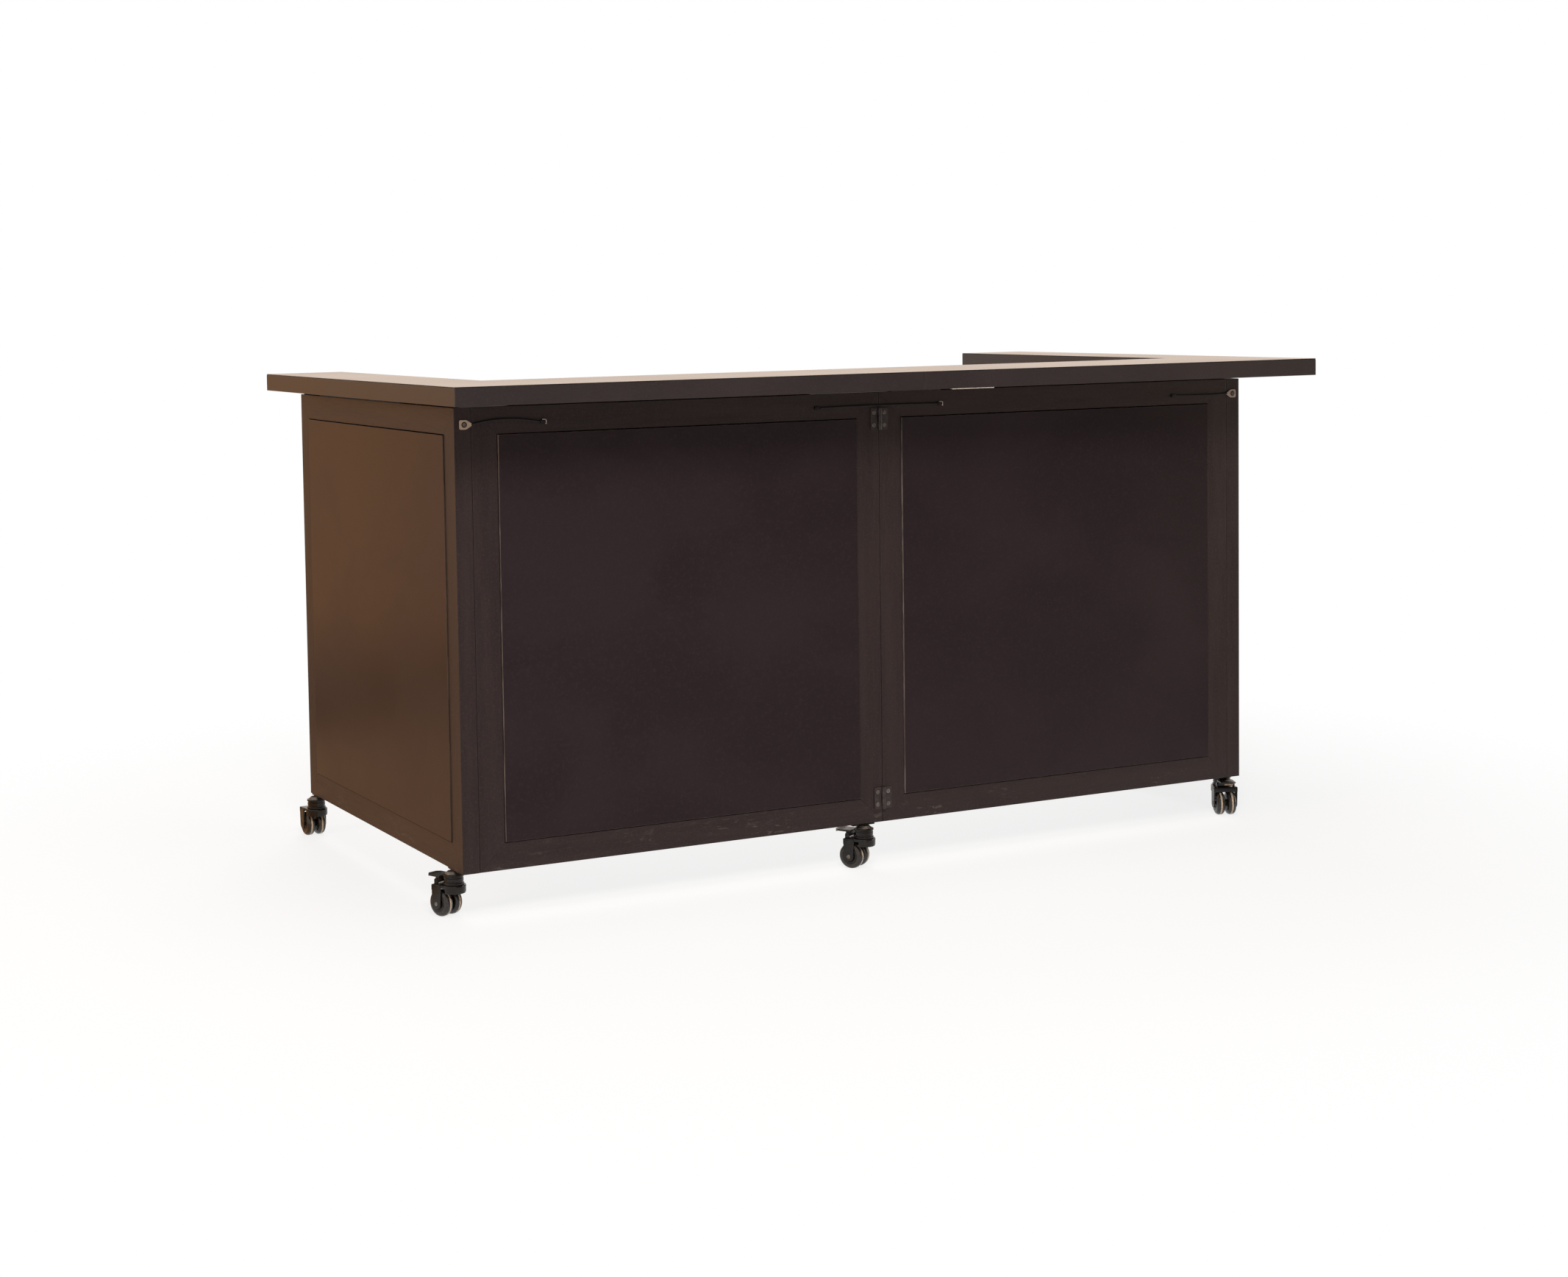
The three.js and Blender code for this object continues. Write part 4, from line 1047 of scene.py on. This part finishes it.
def stage_card(name, centre, facing, width, height, colour, strength):
    """A plain card that shows in glossy surfaces and not to the camera."""
    bm = bmesh.new()
    bmesh.ops.create_grid(bm, x_segments=1, y_segments=1, size=0.5)
    mesh = bpy.data.meshes.new(name)
    bm.to_mesh(mesh)
    bm.free()
    card = bpy.data.objects.new(name, mesh)
    bpy.context.scene.collection.objects.link(card)
    card.matrix_world = (
        Matrix.Translation(centre) @ Vector(facing).to_track_quat("Z", "Y").to_matrix().to_4x4()
        @ Matrix.Diagonal((width, height, 1, 1))
    )
    material = bpy.data.materials.new(name)
    material.use_nodes = True
    tree = material.node_tree
    glow = tree.nodes.new("ShaderNodeEmission")
    glow.inputs["Color"].default_value = (*colour, 1)
    glow.inputs["Strength"].default_value = strength
    tree.links.new(glow.outputs[0], tree.nodes["Material Output"].inputs["Surface"])
    mesh.materials.append(material)
    card.visible_camera = False
    card.visible_diffuse = False
    card.visible_shadow = False


def stage_light(name, spot, target, size, power, colour):
    """A square lamp that glossy surfaces don't mirror."""
    data = bpy.data.lights.new(name, "AREA")
    data.shape = "SQUARE"
    data.size = size
    data.energy = power
    data.color = colour
    lamp = bpy.data.objects.new(name, data)
    bpy.context.scene.collection.objects.link(lamp)
    aim = Vector(target) - Vector(spot)
    lamp.matrix_world = Matrix.Translation(spot) @ aim.to_track_quat("-Z", "Y").to_matrix().to_4x4()
    lamp.visible_glossy = False


def stage_world():
    """Soft light from all round, with white behind the bar for the background's rays."""
    world = bpy.data.worlds.new("studio")
    bpy.context.scene.world = world
    world.use_nodes = True
    tree = world.node_tree
    nodes, links = tree.nodes, tree.links
    soft = nodes["Background"]
    soft.inputs["Color"].default_value = (*SOFT_WHITE, 1)
    soft.inputs["Strength"].default_value = 0.14
    white = nodes.new("ShaderNodeBackground")
    white.inputs["Color"].default_value = (1, 1, 1, 1)
    mixed = nodes.new("ShaderNodeMixShader")
    links.new(background_rays(tree), mixed.inputs["Fac"])
    links.new(soft.outputs[0], mixed.inputs[1])
    links.new(white.outputs[0], mixed.inputs[2])
    links.new(mixed.outputs[0], nodes["World Output"].inputs["Surface"])


SOFT_WHITE = (1.0, 0.96, 0.92)
stage_floor()
stage_world()
stage_light("key", (-1.8, -3.9, 3.7), (-0.2, -0.4, 0.5), 1.3, 150, SOFT_WHITE)
stage_light("overhead", (-0.3, -1.2, 3.4), (-0.2, -0.5, 0.9), 2.0, 45, SOFT_WHITE)
stage_light("back", (0.4, 2.6, 3.2), (0, 0.2, 0.7), 2.2, 80, SOFT_WHITE)
stage_light("warm_left", (-4.4, -0.9, 1.7), (-1.0, -0.1, 0.6), 1.4, 62, (1.0, 0.64, 0.38))
stage_card("warm_back_card", (2.6, 4.6, 3.1), (-0.5, -0.87, 0), 12.0, 4.0, (1.0, 0.83, 0.70), 1.12)
stage_card("warm_wall_card", (-2.3, 2.5, 0.7), (0.345, -0.94, 0), 3.4, 1.2, (1.0, 0.51, 0.22), 0.78)
stage_card("dark_wall_card", (-2.3, 2.5, 0.05), (0.345, -0.94, 0), 3.4, 0.1, (1.0, 0.50, 0.22), 0.26)
stage_card("dark_floor_card", (-2.1, 2.2, 0.006), (0, 0, 1), 2.4, 0.9, (1.0, 0.50, 0.24), 0.28)
stage_card("warm_floor_card", (-1.9, 0.75, 0.004), (0, 0, 1), 1.8, 2.0, (1.0, 0.54, 0.26), 0.70)
stage_card("warm_side_card", (5.0, -1.9, 0.6), (-0.93, 0.36, 0), 1.4, 1.4, (1.0, 0.74, 0.48), 6.0)
stage_card("front_left_card", (-2.4, -6.0, 0.8), (0.22, 0.97, 0), 1.8, 1.6, (1.0, 0.82, 0.64), 1.8)
stage_card("dim_front_card", (3.4, -6.4, 1.6), (-0.45, 0.89, 0), 9.0, 6.4, (0.30, 0.22, 0.21), 0.8)
stage_card("dim_floor_card", (1.8, -3.0, 0.005), (0, 0, 1), 7.0, 4.6, (0.56, 0.45, 0.44), 1.0)

bpy.context.scene.view_settings.view_transform = "Standard"
